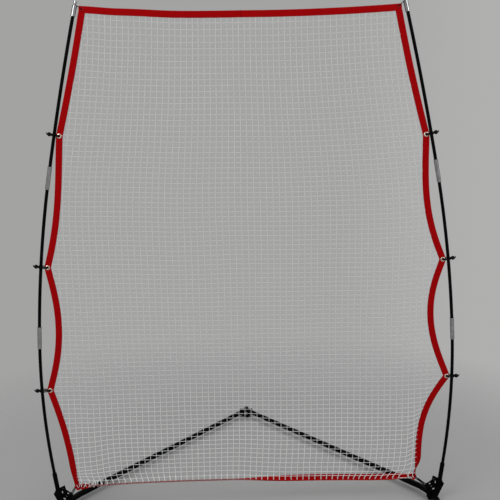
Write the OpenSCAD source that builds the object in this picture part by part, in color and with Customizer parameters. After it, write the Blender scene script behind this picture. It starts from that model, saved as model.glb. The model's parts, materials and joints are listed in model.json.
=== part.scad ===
// Bow-frame pitching target net: a V-shaped folding base, two bowed poles in
// leaning sockets, and a net that elastic cords hold between the poles.
// Millimetres. X points right, Y to the rear and Z up. The origin is on the
// floor, in the middle of the whole frame.

/* [Base] */
// Distance between the two pole feet, where the pole axes meet the floor
base_width = 1544; // [1300:1:1800]
// Distance from the plane of the poles back to the hinge bolts
base_depth = 922; // [700:1:1100]
// How far the front tubes reach ahead of the plane of the poles
front_reach = 168; // [130:1:260]
// Height of the base tubes' axes above the floor
tube_height = 24; // [20:0.5:30]
// Outside diameter of the leg tubes
leg_od = 22; // [18:0.5:25]
// Wall of the leg tubes and elbows
tube_wall = 1.5; // [1:0.1:2]
// Radius of the elbows' bend
elbow_radius = 250; // [200:1:320]
// How far the bend ends ahead of the plane of the poles
elbow_front = 65; // [50:1:90]
// How far a leg tube is pushed into its elbow
leg_overlap = 60; // [40:1:90]

/* [Hub] */
// Distance between the two hinge bolts
hinge_spacing = 40; // [36:0.5:50]
// Diameter of the hinge bolts and of the clamp screw
hinge_bolt_d = 8; // [6:0.5:9]
// Thickness of the hub plates
hub_plate_t = 3; // [2:0.1:4]
// Rim of the hub plates round the hinge bolts
hub_rim = 15; // [13:0.5:18]
// Diameter of the clamp knob
knob_d = 24; // [20:0.5:30]
// Height of the clamp knob
knob_h = 15; // [12:0.5:22]
// Diameter of the hub's rubber foot
hub_foot_d = 27; // [24:0.5:28]

/* [Sockets and brackets] */
// Outside diameter of the pole sockets
socket_od = 18; // [16:0.1:20]
// Height of the socket's mouth, measured along its axis from the floor
socket_top = 162; // [140:1:200]
// Height of the stop that the pole rests on, measured along the same axis
stop_height = 76; // [60:1:90]
// Thickness of the bracket plates
bracket_t = 2.5; // [1.5:0.1:4]
// Diameter of the bracket bolts
bracket_bolt_d = 6; // [5:0.5:6.5]
// Height of the bracket's pointed ear above the floor
ear_height = 101; // [92:1:115]
// Thickness of the rubber of the front feet
foot_wall = 2.5; // [2:0.1:4]
// Length of the front feet
foot_length = 42; // [30:1:60]

/* [Poles] */
// Diameter of the pole rods
pole_d = 12.7; // [11:0.1:14]
// Length of the lower rod of a pole
lower_rod_length = 660; // [580:1:740]
// Length of each of the two rods above it
rod_length = 630; // [560:1:710]
// Outward lean of the pole at its foot, in degrees
pole_lean = 7.4; // [6:0.1:9]
// Turn of the lower rod, in degrees
lower_turn = 10.6; // [8:0.1:12]
// Turn of the middle rod, in degrees
middle_turn = 7.4; // [6:0.1:10]
// Turn of the upper rod, in degrees
upper_turn = 3.2; // [2:0.1:5]
// Outside diameter of the ferrules
ferrule_od = 16; // [15:0.1:18]
// Length of the ferrules
ferrule_length = 87; // [60:1:110]
// Outside diameter of the pole caps
cap_od = 17; // [15.5:0.1:20]
// Length of the pole cap's sleeve
cap_length = 38; // [34:1:60]

/* [Net] */
// Width of the border webbing
webbing_w = 25; // [20:0.5:30]
// Thickness of one layer of the webbing
webbing_t = 1.2; // [0.8:0.1:2]
// Thickness of the netting
net_t = 2; // [1.2:0.1:2.4]
// Width of the netting's bars
net_bar = 4; // [3:0.5:6]
// Number of gaps across the netting
net_columns = 14; // [8:1:14]
// Number of gaps up the netting
net_rows = 20; // [10:1:20]
// Height of the lower border's middle above the floor
net_clearance = 110; // [90:1:120]
// Distance of the lower corners inboard of the pole feet
lower_corner_gap = 75; // [68:1:86]
// Distance of the upper corners from the necks of the pole caps
upper_corner_gap = 30; // [28:1:40]
// Sag of the upper border in the middle
top_sag = 18; // [6:1:40]
// How far the netting's lines belly out between its upper and lower corners
net_belly = 105; // [60:1:130]
// Inward bow of the side borders between the lower corner and the lowest clip
lower_bow = 29; // [18:1:34]
// Inward bow of the side borders between the lowest clip and the middle clip
middle_bow = 46; // [15:1:50]
// Inward bow of the side borders between the middle clip and the highest clip
upper_bow = 21; // [8:1:30]

/* [Clips] */
// Distance of the lowest clip below the middle of the lower ferrule
low_clip_drop = 208; // [170:1:260]
// Distance of the middle clip above the middle of the lower ferrule
middle_clip_rise = 284; // [230:1:350]
// Distance of the highest clip above the middle of the upper ferrule
high_clip_rise = 154; // [125:1:240]
// Distance of the lowest grommet from the pole's axis
low_inset = 28; // [25:1:36]
// Distance of the middle grommet from the pole's axis
middle_inset = 24; // [22:1:36]
// Distance of the highest grommet from the pole's axis
high_inset = 22; // [22:1:40]
// Outside diameter of the grommets
grommet_od = 19; // [16:0.5:21]
// Diameter of the grommets' holes
grommet_hole = 9.4; // [8:0.1:11]
// Diameter of the clips' balls
ball_d = 16; // [14:0.5:22]
// Diameter of the clips' elastic cords
cord_d = 3.4; // [2:0.1:3.6]
// Diameter of the elastic loops at the upper corners
loop_cord_d = 2.4; // [1.6:0.1:2.8]

/* [Differences between the sides] */
// How much higher the right side's lowest clip sits than the left side's
low_clip_shift = 21; // [0:1:40]
// How much lower the right side's highest clip sits than the left side's
high_clip_shift = 18; // [0:1:40]
// How much closer to its pole the right side's lowest grommet is
low_inset_shift = 8; // [0:1:8]
// How much closer to its pole the right side's middle grommet is
middle_inset_shift = 3; // [0:0.5:3]
// How much further inboard the right side's lower corner is
corner_shift = 18; // [0:1:20]
// How much more the right side bows in below its lowest clip
lower_bow_shift = 33; // [0:1:36]
// How much more the right side bows in between its lowest and middle clips
middle_bow_shift = 16; // [0:1:20]
// How much more the right side bows in between its middle and highest clips
upper_bow_shift = 13; // [0:1:16]

/* [Hidden] */

// Clearances: a running fit, a slip or press fit, and a loose gap
running = 0.08;
slip = 0.05;
loose = 0.2;
// Gap that lets a soft piece lie beside another one
soft_gap = 0.3;
// Extra length of a cutting shape past the face that it cuts
past = 1;
// Sides of a full turn on small round pieces and on the wide arcs
$fn = 48;
profile_sides = 32;
bend_sides = 480;
wide_sides = 720;

// Colours
steel_black = [0.07, 0.07, 0.08];
rubber_black = [0.04, 0.04, 0.04];
bright_steel = [0.75, 0.76, 0.78];
webbing_red = [0.62, 0.02, 0.05];
net_white = [0.93, 0.93, 0.92];
nylon_grey = [0.3, 0.3, 0.32];

// Poles ----------------------------------------------------------------

pole_r = pole_d / 2;
// The rod's straight tip is ground a little thinner than the rest
tip_r = pole_r - slip;
// Gap between the ends of two rods inside a ferrule
joint_gap = 0.1;
foot_x = base_width / 2;
// The lower rod is straight from its foot to just above the socket
straight_above_socket = 8;
bend_start = socket_top + straight_above_socket;
rod_end = [
  stop_height + lower_rod_length,
  stop_height + lower_rod_length + rod_length,
  stop_height + lower_rod_length + 2 * rod_length,
];
turns = [lower_turn, middle_turn, upper_turn];
arc_length = [rod_end[0] - bend_start, rod_length, rod_length];
arc_radius = [for (i = [0 : 2]) arc_length[i] / turns[i] * 180 / PI];
arc_start = [bend_start, rod_end[0], rod_end[1]];

function heading(lean) = [sin(lean), cos(lean)];
// Where an arc of radius r takes a point that starts at p and leans by lean
function arc_point(p, lean, r, turn) =
  p + r * [cos(lean - turn) - cos(lean), sin(lean) - sin(lean - turn)];
lean_at = [
  pole_lean,
  pole_lean - lower_turn,
  pole_lean - lower_turn - middle_turn,
];
start_0 = [foot_x, 0] + bend_start * heading(pole_lean);
start_1 = arc_point(start_0, lean_at[0], arc_radius[0], turns[0]);
start_2 = arc_point(start_1, lean_at[1], arc_radius[1], turns[1]);
starts = [start_0, start_1, start_2];
// Number of the arc that holds a place on the pole, and its turn up to there
function arc_of(s) = s < arc_start[1] ? 0 : (s < arc_start[2] ? 1 : 2);
function turn_to(s) =
  (s - arc_start[arc_of(s)]) / arc_radius[arc_of(s)] * 180 / PI;
// Place [x, z] and lean of the pole's axis at a distance s up the pole
function pole_place(s) = s < bend_start
  ? [foot_x, 0] + s * heading(pole_lean)
  : arc_point(
      starts[arc_of(s)], lean_at[arc_of(s)], arc_radius[arc_of(s)], turn_to(s)
    );
function pole_lean_at(s) =
  s < bend_start ? pole_lean : lean_at[arc_of(s)] - turn_to(s);

// Base -----------------------------------------------------------------

elbow_id = leg_od + 2 * slip;
elbow_od = elbow_id + 2 * tube_wall;
elbow_r = elbow_od / 2;
socket_r = socket_od / 2;
// The front tube passes the socket's foot on its inner side
bend_at_pole = asin(elbow_front / elbow_radius);
socket_side_gap = 1;
socket_x_low = foot_x + tube_height * tan(pole_lean);
elbow_x_at_pole = socket_x_low - socket_r / cos(pole_lean)
  - elbow_r / cos(bend_at_pole) - socket_side_gap;
front_x = elbow_x_at_pole + elbow_radius * (1 - cos(bend_at_pole));
hinge_x = hinge_spacing / 2;
// The leg runs from the hinge bolt along the tangent of the elbow's bend
bend_centre = [front_x - elbow_radius, -elbow_front];
to_centre = bend_centre - [hinge_x, base_depth];
centre_distance = norm(to_centre);
leg_angle = atan2(to_centre[0], -to_centre[1])
  + asin(elbow_radius / centre_distance);
leg_run = sqrt(pow(centre_distance, 2) - pow(elbow_radius, 2));
leg_tail = 10;
sleeve_spare = 10;
leg_end = leg_run - sleeve_spare;
elbow_sleeve = leg_overlap + sleeve_spare;
insert_length = 42;

// The lowest faces and the far ends set the origin
foot_end_wall = 3;
hub_front = 30;
leg_back = leg_tail * cos(leg_angle) + leg_od / 2 * sin(leg_angle);
front_face = front_reach + foot_end_wall;
rear_face = base_depth + max(hub_rim, leg_back);
pole_y = (front_face - rear_face) / 2;

// Hub ------------------------------------------------------------------

bolt_r = hinge_bolt_d / 2;
hub_gap = leg_od + 2 * loose;
plate_low = tube_height - hub_gap / 2 - hub_plate_t;
plate_high = tube_height + hub_gap / 2;
clamp_y = -13;
// Bolt heads and nuts: how far they pass the bolt's radius, and their heights
head_rim = 3;
head_h = 4;
nut_h = 6;
bolt_tip = 2;
spacer_wall = 2.5;
washer_t = 1.6;
knob_base = plate_high + hub_plate_t + washer_t + slip;

// Bracket --------------------------------------------------------------

bolt2_r = bracket_bolt_d / 2;
plate_face = socket_r + loose;
bracket_low = 5;
bracket_head_rim = 2.5;
bracket_head_h = 4;
bracket_nut_h = 5;
// Middle of the cross bolt that the pole rests on, and of the strap's bolt
stop_bolt_s = stop_height - bolt2_r - slip;
stop_bolt = [foot_x, 0] + stop_bolt_s * heading(pole_lean);
strap_bolt_in = 38;
strap_bolt_high = 60;
strap_bolt = [foot_x - strap_bolt_in, strap_bolt_high];
// Outline of the bracket plates: the shoulder beside the socket, the ear
// inboard of it, the arm that holds the strap, and the holes
shoulder_z = 77;
shoulder_out = 8;
shoulder_flat = 9;
shoulder_rise = 10;
ear_tip = 13;
ear_flat = 2;
ear_foot = 19;
ear_foot_z = 83;
strap_rim = 8;
toe_corner = 4;
inner_rise = 22;
window_left = 11.5;
window_right = [1.5, 2.5];
window_low = [66, 70];
window_high = [85, 89];
sight_hole_r = 6.5;
sight_hole_l = 7;
sight_hole_lean = 20;
sight_hole_in = 15;
arm_hole_r = 3.5;
arm_hole = [27, 66];

// Net ------------------------------------------------------------------

web_half = webbing_w / 2;
fold_gap = net_t + 2 * loose;
border_t = fold_gap + 2 * webbing_t;
fold_edge = 2;
net_tuck = 5;
// The net's two sides differ a little. Each side s (-1 left, 1 right) is
// worked out as a right side, and the left one is mirrored when it is drawn
function clip_s(s, i) = [
  rod_end[0] - low_clip_drop + s * low_clip_shift / 2,
  rod_end[0] + middle_clip_rise,
  rod_end[1] + high_clip_rise - s * high_clip_shift / 2,
][i];
function clip_inset(s, i) = [
  low_inset - s * low_inset_shift / 2,
  middle_inset - s * middle_inset_shift / 2,
  high_inset,
][i];
function inward(lean) = [-cos(lean), sin(lean)];
function grommet_place(s, i) =
  pole_place(clip_s(s, i)) + clip_inset(s, i) * inward(pole_lean_at(clip_s(s, i)));
cap_cover = 30;
neck_s = rod_end[2] + cap_length - cap_cover;
neck_l = 9;
neck_r = 3.5;
cap_head_r = 6.5;
cap_head_l = 8;
upper_corner_drop = 35;
neck_mid = pole_place(neck_s + neck_l / 2);
upper_corner = neck_mid
  - upper_corner_gap * [cos(upper_corner_drop), sin(upper_corner_drop)];
function lower_corner(s) =
  [foot_x - lower_corner_gap - s * corner_shift / 2, net_clearance];
// Knots of a side border's middle line, from the lower corner to the upper
function knots_of(s) = [
  lower_corner(s), grommet_place(s, 0), grommet_place(s, 1),
  grommet_place(s, 2), upper_corner,
];
function bows_of(s) = [
  lower_bow + s * lower_bow_shift / 2,
  middle_bow + s * middle_bow_shift / 2,
  upper_bow + s * upper_bow_shift / 2,
  0,
];
side_knots = [knots_of(-1), knots_of(1)];
side_bows = [bows_of(-1), bows_of(1)];
// Span of the border that holds the height z, and the share of it below z
function span_of(k, z) =
  z < k[1][1] ? 0 : (z < k[2][1] ? 1 : (z < k[3][1] ? 2 : 3));
function share(k, z, i) = (z - k[i][1]) / (k[i + 1][1] - k[i][1]);
function span_x(k, bow, i, t) =
  k[i][0] + (k[i + 1][0] - k[i][0]) * t - 4 * bow * t * (1 - t);
function span_slope(k, bow, i, t) =
  (k[i + 1][0] - k[i][0] - 4 * bow * (1 - 2 * t)) / (k[i + 1][1] - k[i][1]);
// Side s of the net at height z, moved square to the border's line by off
function side_x(s, z, off) =
  let (
    k = side_knots[(s + 1) / 2],
    i = span_of(k, z),
    bow = side_bows[(s + 1) / 2][i],
    t = share(k, z, i)
  )
  span_x(k, bow, i, t) + off * sqrt(1 + pow(span_slope(k, bow, i, t), 2));
// Upper border at x, moved up by off
function top_z(x, off) =
  upper_corner[1] + off - top_sag * (1 - pow(x / upper_corner[0], 2));
side_steps = 48;
top_steps = 24;
side_low = net_clearance - web_half;
side_high = upper_corner[1] + web_half;
function side_z(i) = side_low + (side_high - side_low) * i / side_steps;
side_zs = [for (i = [0 : side_steps]) side_z(i)];

// Placing --------------------------------------------------------------

// Draws the children for the right side, or mirrored for the left
module on_side(s) {
  if (s < 0) mirror([1, 0, 0]) children();
  else children();
}

// Stands the children on the pole's axis, a distance s up the pole
module on_pole(s) {
  place = pole_place(s);
  translate([place[0], pole_y, place[1]])
    rotate([0, pole_lean_at(s), 0])
    children();
}

// Puts the children at the hinge bolt, with Y pointing out along the leg
module on_leg() {
  translate([hinge_x, pole_y + base_depth, tube_height])
    rotate([0, 0, 180 + leg_angle])
    children();
}

// A bar through the plane of the poles, along Y, at a place [x, z]
module cross_bar(place, r, low, high) {
  translate([place[0], pole_y + high, place[1]])
    rotate([90, 0, 0])
    cylinder(r = r, h = high - low);
}

// Flat shape in the plane of the poles, drawn in X and Z, t thick
module flat_in_plane(t, y = 0) {
  translate([0, pole_y + y + t / 2, 0])
    rotate([90, 0, 0])
    linear_extrude(height = t)
    children();
}

// Poles ----------------------------------------------------------------

// The rod on the pole's arc number i
module bent_rod(i) {
  gap_turn = joint_gap / arc_radius[i] * 180 / PI;
  translate([starts[i][0], pole_y, starts[i][1]])
    rotate([0, lean_at[i], 0])
    translate([-arc_radius[i], 0, 0])
    rotate([90, 0, 0])
    rotate_extrude(angle = turns[i] - gap_turn, $fn = wide_sides)
    translate([arc_radius[i], 0])
    circle(r = pole_r, $fn = profile_sides);
}

module tube(r_out, r_in, length) {
  difference() {
    cylinder(r = r_out, h = length);
    translate([0, 0, -past]) cylinder(r = r_in, h = length + 2 * past);
  }
}

module rod_lower() {
  color(steel_black) union() {
    on_pole(stop_height) cylinder(r = tip_r, h = bend_start - stop_height + past);
    bent_rod(0);
  }
}

// Straight sleeve over the joint between rod i and the next one
module ferrule(i) {
  half = ferrule_length / 2;
  rod_sag = half * half / 2 / min(arc_radius[i], arc_radius[i + 1]);
  color(bright_steel)
    on_pole(rod_end[i])
    translate([0, 0, -half])
    tube(ferrule_od / 2, pole_r + rod_sag + slip, ferrule_length);
}

// Blind sleeve over the pole's end, with a neck and a small head
module pole_cap() {
  color(bright_steel)
    on_pole(rod_end[2])
    translate([0, 0, -cap_cover])
    difference() {
      union() {
        cylinder(d = cap_od, h = cap_length);
        cylinder(r = neck_r, h = cap_length + neck_l + past);
        translate([0, 0, cap_length + neck_l])
          cylinder(r = cap_head_r, h = cap_head_l);
      }
      translate([0, 0, -past])
        cylinder(r = pole_r + 2 * slip, h = cap_cover + past);
    }
}

// Clips ----------------------------------------------------------------

ring_inner = pole_r + soft_gap;
ring_outer = ring_inner + cord_d;
ring_mid = (ring_inner + ring_outer) / 2;
ball_mid = ring_outer + ball_d / 2;
// The knot sits in a recess at the ball's outer end
knot_r = 2.6;
recess_r = 3.4;
recess_depth = 4.4;
knot_at = ball_mid + ball_d / 2 - recess_depth + knot_r + soft_gap;

// Flat elastic ring round a post at the origin, reaching to -inset on X
module elastic_ring(inset, r_in, thick) {
  r_out = r_in + thick;
  far = inset - (r_in + r_out) / 2;
  translate([0, 0, -thick / 2])
    linear_extrude(height = thick)
    difference() {
      union() {
        circle(r = r_out);
        translate([-far, 0]) circle(r = r_out);
        translate([-far, -r_out]) square([far, 2 * r_out]);
      }
      union() {
        circle(r = r_in);
        translate([-far, 0]) circle(r = r_in);
        translate([-far, -r_in]) square([far, 2 * r_in]);
      }
    }
}

module clip_cords(s) {
  color(rubber_black)
    for (i = [0 : 2])
      on_pole(clip_s(s, i)) union() {
        elastic_ring(clip_inset(s, i), ring_inner, cord_d);
        translate([ring_mid, 0, 0])
          rotate([0, 90, 0])
          cylinder(r = cord_d / 2, h = knot_at - ring_mid);
        translate([knot_at, 0, 0]) sphere(r = knot_r);
      }
}

module clip_balls(s) {
  color(rubber_black)
    for (i = [0 : 2])
      on_pole(clip_s(s, i))
        translate([ball_mid, 0, 0])
        rotate([0, 90, 0])
        rotate_extrude()
        difference() {
          intersection() {
            circle(d = ball_d);
            translate([cord_d / 2 + loose, -ball_d]) square(2 * ball_d);
          }
          translate([0, ball_d / 2 - recess_depth]) square([recess_r, ball_d]);
        }
}

// Elastic loop from the neck of the pole cap to the net's upper corner
module top_loop() {
  color(rubber_black)
    translate([neck_mid[0], pole_y, neck_mid[1]])
    rotate([0, -upper_corner_drop, 0])
    elastic_ring(upper_corner_gap, neck_r + 1, loop_cord_d);
}

// Base tubes -----------------------------------------------------------

module elbow_bend(r) {
  translate([bend_centre[0], pole_y + bend_centre[1], tube_height])
    rotate_extrude(angle = leg_angle, $fn = bend_sides)
    translate([elbow_radius, 0])
    circle(r = r, $fn = profile_sides);
}

// The elbow's outside shape: sleeve on the leg, bend, and front tube
module elbow_body(r, front_extra = 0) {
  on_leg()
    translate([0, leg_run - elbow_sleeve, 0])
    rotate([-90, 0, 0])
    cylinder(r = r, h = elbow_sleeve + past);
  elbow_bend(r - loose);
  translate([front_x, pole_y - elbow_front, tube_height])
    rotate([90, 0, 0])
    translate([0, 0, -past])
    cylinder(r = r, h = front_reach - elbow_front + past + front_extra);
}

module elbow() {
  color(steel_black) difference() {
    elbow_body(elbow_r);
    on_leg()
      translate([0, leg_run - elbow_sleeve - past, 0])
      rotate([-90, 0, 0])
      cylinder(r = elbow_id / 2, h = elbow_sleeve + 2 * past);
    translate([front_x, pole_y - elbow_front, tube_height])
      rotate([90, 0, 0])
      translate([0, 0, -past])
      cylinder(r = elbow_id / 2, h = front_reach - elbow_front + 2 * past);
    elbow_bend(elbow_id / 2 - loose);
    screw_hole();
  }
}

module leg_tube() {
  color(steel_black) difference() {
    on_leg()
      translate([0, -leg_tail, 0])
      rotate([-90, 0, 0])
      tube(leg_od / 2, leg_od / 2 - tube_wall, leg_end + leg_tail);
    on_leg()
      translate([0, 0, -leg_od])
      cylinder(r = bolt_r + running, h = 2 * leg_od);
    screw_hole();
  }
}

// Nylon insert that carries the hinge bolt inside the leg's end
module hinge_insert() {
  color(nylon_grey) on_leg() difference() {
    translate([0, -leg_tail, 0])
      rotate([-90, 0, 0])
      cylinder(r = leg_od / 2 - tube_wall - slip, h = insert_length);
    translate([0, 0, -leg_od]) cylinder(r = bolt_r + running, h = 2 * leg_od);
  }
}

screw_r = 2.1;
screw_from_end = 32;
module screw_hole() {
  on_leg()
    translate([0, leg_run - elbow_sleeve + screw_from_end, 0])
    cylinder(r = screw_r + slip, h = elbow_od);
}

// Self-drilling screw that holds the elbow on the leg
module elbow_screw() {
  color(steel_black) on_leg()
    translate([0, leg_run - elbow_sleeve + screw_from_end, 0]) union() {
      translate([0, 0, leg_od / 2 - 2 * tube_wall])
        cylinder(r = screw_r, h = elbow_r - leg_od / 2 + 2 * tube_wall + 0.5);
      translate([0, 0, elbow_r + slip])
        cylinder(r = 2 * screw_r, h = 2.4);
    }
}

// Rubber boot with a flat sole on the front tube's end
module front_foot() {
  sole_w = elbow_od - 2;
  color(rubber_black)
    translate([front_x, pole_y - front_face, 0])
    difference() {
      union() {
        translate([0, foot_length, tube_height])
          rotate([90, 0, 0])
          cylinder(r = elbow_r + foot_wall, h = foot_length);
        translate([-sole_w / 2, 0, 0])
          cube([sole_w, foot_length, tube_height]);
      }
      translate([0, foot_length + past, tube_height])
        rotate([90, 0, 0])
        cylinder(r = elbow_r, h = foot_length + past - foot_end_wall);
    }
}

// Brackets -------------------------------------------------------------

module sight_hole() {
  circle(r = sight_hole_r);
  translate([-sight_hole_r, -sight_hole_l]) square([2 * sight_hole_r, sight_hole_l]);
  translate([0, -sight_hole_l]) circle(r = sight_hole_r);
}

// Outline of a bracket plate, from the outer toe round the ear to the inner toe
module bracket_outline() {
  outer_toe = elbow_x_at_pole + elbow_r + toe_corner;
  shoulder_x = foot_x + shoulder_z * tan(pole_lean) + socket_r + shoulder_out;
  inner_x = elbow_x_at_pole - elbow_r - foot_wall - toe_corner + running;
  difference() {
    polygon([
      [outer_toe, bracket_low],
      [outer_toe + toe_corner, bracket_low + 3 * toe_corner],
      [shoulder_x, shoulder_z],
      [shoulder_x - shoulder_flat, shoulder_z + shoulder_rise],
      [foot_x + ear_tip / 2, shoulder_z + shoulder_rise + toe_corner],
      [foot_x - ear_tip, ear_height],
      [foot_x - ear_tip - ear_flat, ear_height],
      [foot_x - ear_foot, ear_foot_z],
      [strap_bolt[0] + strap_rim / 2, strap_bolt[1] + 1.5 * strap_rim],
      [strap_bolt[0] - strap_rim / 2, strap_bolt[1] + strap_rim],
      [strap_bolt[0] - strap_rim, strap_bolt[1] + strap_rim / 2],
      [strap_bolt[0] - strap_rim, strap_bolt[1] - strap_rim],
      [inner_x, tube_height + inner_rise],
      [inner_x, bracket_low + toe_corner],
      [inner_x + toe_corner, bracket_low],
    ]);
    // Window of the ear
    polygon([
      [foot_x - window_left, window_high[1]],
      [foot_x - window_right[0], window_high[0]],
      [foot_x - window_right[1], window_low[0]],
      [foot_x - window_left, window_low[1]],
    ]);
    // Oblong hole over the base tube, and a small one in the strap's arm
    translate([foot_x - sight_hole_in, tube_height + elbow_r + sight_hole_in])
      rotate(sight_hole_lean)
      sight_hole();
    translate([foot_x - arm_hole[0], arm_hole[1]]) circle(r = arm_hole_r);
  }
}

// One of the two plates, with its near face at y from the poles' plane
module bracket_plate(y) {
  color(steel_black) difference() {
    flat_in_plane(bracket_t, y) bracket_outline();
    elbow_body(elbow_r + slip, past);
    cross_bar(stop_bolt, bolt2_r + slip, y - bracket_t, y + bracket_t);
    cross_bar(strap_bolt, bolt2_r + slip, y - bracket_t, y + bracket_t);
  }
}
plate_mid = plate_face + bracket_t / 2;

socket_low = 45;
module socket() {
  color(steel_black) difference() {
    on_pole(socket_low) tube(socket_r, tip_r + running, socket_top - socket_low);
    cross_bar(stop_bolt, bolt2_r + slip, -socket_od, socket_od);
  }
}

plug_l = 14;
plug_rim = 2;
module socket_plug() {
  color(rubber_black) on_pole(socket_low) union() {
    cylinder(r = tip_r + slip / 2, h = plug_l);
    translate([0, 0, -plug_rim - slip]) cylinder(r = socket_r - 0.5, h = plug_rim);
    translate([0, 0, -plug_rim]) cylinder(r = tip_r, h = plug_rim + past);
  }
}

bolt_end = plate_face + bracket_t;
module bracket_bolt(place) {
  cross_bar(place, bolt2_r, -bolt_end - past, bolt_end + bracket_nut_h + bolt_tip);
  translate([place[0], pole_y - bolt_end - slip, place[1]])
    rotate([90, 0, 0])
    cylinder(r = bolt2_r + bracket_head_rim, h = bracket_head_h, $fn = 6);
}

module bracket_bolts() {
  color(steel_black) {
    bracket_bolt(stop_bolt);
    bracket_bolt(strap_bolt);
  }
}

module bracket_nuts() {
  color(steel_black)
    for (place = [stop_bolt, strap_bolt])
      difference() {
        translate([place[0], pole_y + bolt_end + slip + bracket_nut_h, place[1]])
          rotate([90, 0, 0])
          cylinder(r = bolt2_r + bracket_head_rim, h = bracket_nut_h, $fn = 6);
        cross_bar(place, bolt2_r + slip, bolt_end - past, bolt_end + 2 * bracket_nut_h);
      }
}

// Strap from the strap bolt to the net's lower corner
strap_w = 8;
strap_t = 2;
module corner_strap(s) {
  reach = strap_bolt - lower_corner(s);
  angle = atan2(reach[1], reach[0]);
  border_edge = max(side_x(s, side_low, web_half), side_x(s, inner_low, web_half));
  border_half = border_edge - lower_corner(s)[0];
  start = (border_half + strap_t * abs(sin(angle))) / cos(angle) + 3 * soft_gap;
  eye_r = bolt2_r + soft_gap;
  color(rubber_black)
    translate([strap_bolt[0], pole_y, strap_bolt[1]])
    rotate([0, -angle, 0])
    difference() {
      union() {
        rotate([90, 0, 0])
          cylinder(r = eye_r + strap_t, h = strap_w, center = true);
        translate([start - norm(reach), -strap_w / 2, -strap_t])
          cube([norm(reach) - start, strap_w, 2 * strap_t]);
      }
      rotate([90, 0, 0]) cylinder(r = eye_r, h = 2 * strap_w, center = true);
    }
}

// Hub ------------------------------------------------------------------

// Moves the children to the middle between the hinge bolts, on the floor
module at_hub() {
  translate([0, pole_y + base_depth, 0]) children();
}

module hub_outline() {
  translate([-hinge_x, 0]) circle(r = hub_rim);
  translate([hinge_x, 0]) circle(r = hub_rim);
  translate([-hinge_x, -hub_rim]) square([hinge_spacing, 2 * hub_rim]);
  polygon([
    [-hinge_x - hub_rim + 1, -4],
    [-12, -hub_front],
    [12, -hub_front],
    [hinge_x + hub_rim - 1, -4],
  ]);
}

module hub_plate(z) {
  color(steel_black) at_hub() translate([0, 0, z]) difference() {
    linear_extrude(height = hub_plate_t) hub_outline();
    for (x = [-hinge_x, hinge_x])
      translate([x, 0, -past])
        cylinder(r = bolt_r + slip, h = hub_plate_t + 2 * past);
    translate([0, clamp_y, -past])
      cylinder(r = bolt_r + slip, h = hub_plate_t + 2 * past);
  }
}

module hub_spacer() {
  color(bright_steel) at_hub()
    translate([0, clamp_y, plate_low + hub_plate_t])
    tube(bolt_r + spacer_wall, bolt_r + slip, hub_gap);
}

module hub_clamp_screw() {
  screw_top = knob_base + knob_h - 4;
  color(bright_steel) at_hub() translate([0, clamp_y, 0]) {
    translate([0, 0, plate_low - head_h]) cylinder(r = bolt_r + head_rim, h = head_h);
    translate([0, 0, plate_low - past]) cylinder(r = bolt_r, h = screw_top - plate_low + past);
  }
}

module hub_washer() {
  color(bright_steel) at_hub()
    translate([0, clamp_y, plate_high + hub_plate_t])
    tube(knob_d / 2 - 2, bolt_r + slip, washer_t);
}

module hub_pivot_bolts() {
  color(bright_steel) at_hub()
    for (x = [-hinge_x, hinge_x])
      translate([x, 0, 0]) {
        translate([0, 0, plate_low - head_h])
          cylinder(r = bolt_r + head_rim, h = head_h, $fn = 6);
        translate([0, 0, plate_low - past])
          cylinder(
            r = bolt_r,
            h = plate_high + hub_plate_t + nut_h + bolt_tip - plate_low + past
          );
      }
}

module hub_pivot_nuts() {
  color(bright_steel) at_hub()
    for (x = [-hinge_x, hinge_x])
      translate([x, 0, plate_high + hub_plate_t])
        difference() {
          cylinder(r = bolt_r + head_rim, h = nut_h, $fn = 6);
          translate([0, 0, -past]) cylinder(r = bolt_r + slip, h = nut_h + 2 * past);
        }
}

// Rubber foot round the clamp screw's head
module hub_foot() {
  color(rubber_black) at_hub() translate([0, clamp_y - 4, 0]) difference() {
    cylinder(d = hub_foot_d, h = plate_low);
    translate([0, 4, plate_low - head_h - soft_gap])
      cylinder(r = bolt_r + head_rim + soft_gap, h = head_h + past);
  }
}

// Knob with finger flutes, blind over the clamp screw
module hub_knob() {
  flutes = 6;
  color(rubber_black) at_hub() translate([0, clamp_y, knob_base]) difference() {
    union() {
      cylinder(d = knob_d, h = knob_h - 2);
      cylinder(d = knob_d - 4, h = knob_h);
    }
    for (i = [0 : flutes - 1])
      rotate([0, 0, i * 360 / flutes])
        translate([knob_d / 2 + 3, 0, 2])
        cylinder(r = 5, h = knob_h);
    translate([0, 0, -past]) cylinder(r = bolt_r + slip, h = knob_h - 3 + past);
  }
}

// Net ------------------------------------------------------------------

inner_low = net_clearance + web_half;
bar_half = net_bar / 2;
// Across the net from -1 to 1 and up it from 0 to 1
function grid_u(i) = -1 + 2 * i / net_columns;
function grid_z(v, x) = inner_low + v * (top_z(x, -web_half) - inner_low);
// The lines belly out smoothly, and only the outer ones follow the border
function smooth_x(z) =
  let (v = (z - net_clearance) / (upper_corner[1] - net_clearance))
  foot_x - lower_corner_gap + (upper_corner[0] - foot_x + lower_corner_gap) * v
  + 4 * net_belly * v * (1 - v) - web_half;
function line_x(u, z) =
  let (edge = side_x(u < 0 ? -1 : 1, z, -web_half))
  u * (smooth_x(z) + pow(u, 4) * (edge - smooth_x(z)));
function grid_point(i, j, dx, dz) =
  let (
    v = j / net_rows,
    z = grid_z(v, line_x(grid_u(i), grid_z(v, 0)))
  )
  [line_x(grid_u(i), z) + dx * bar_half, z + dz * bar_half];
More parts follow.
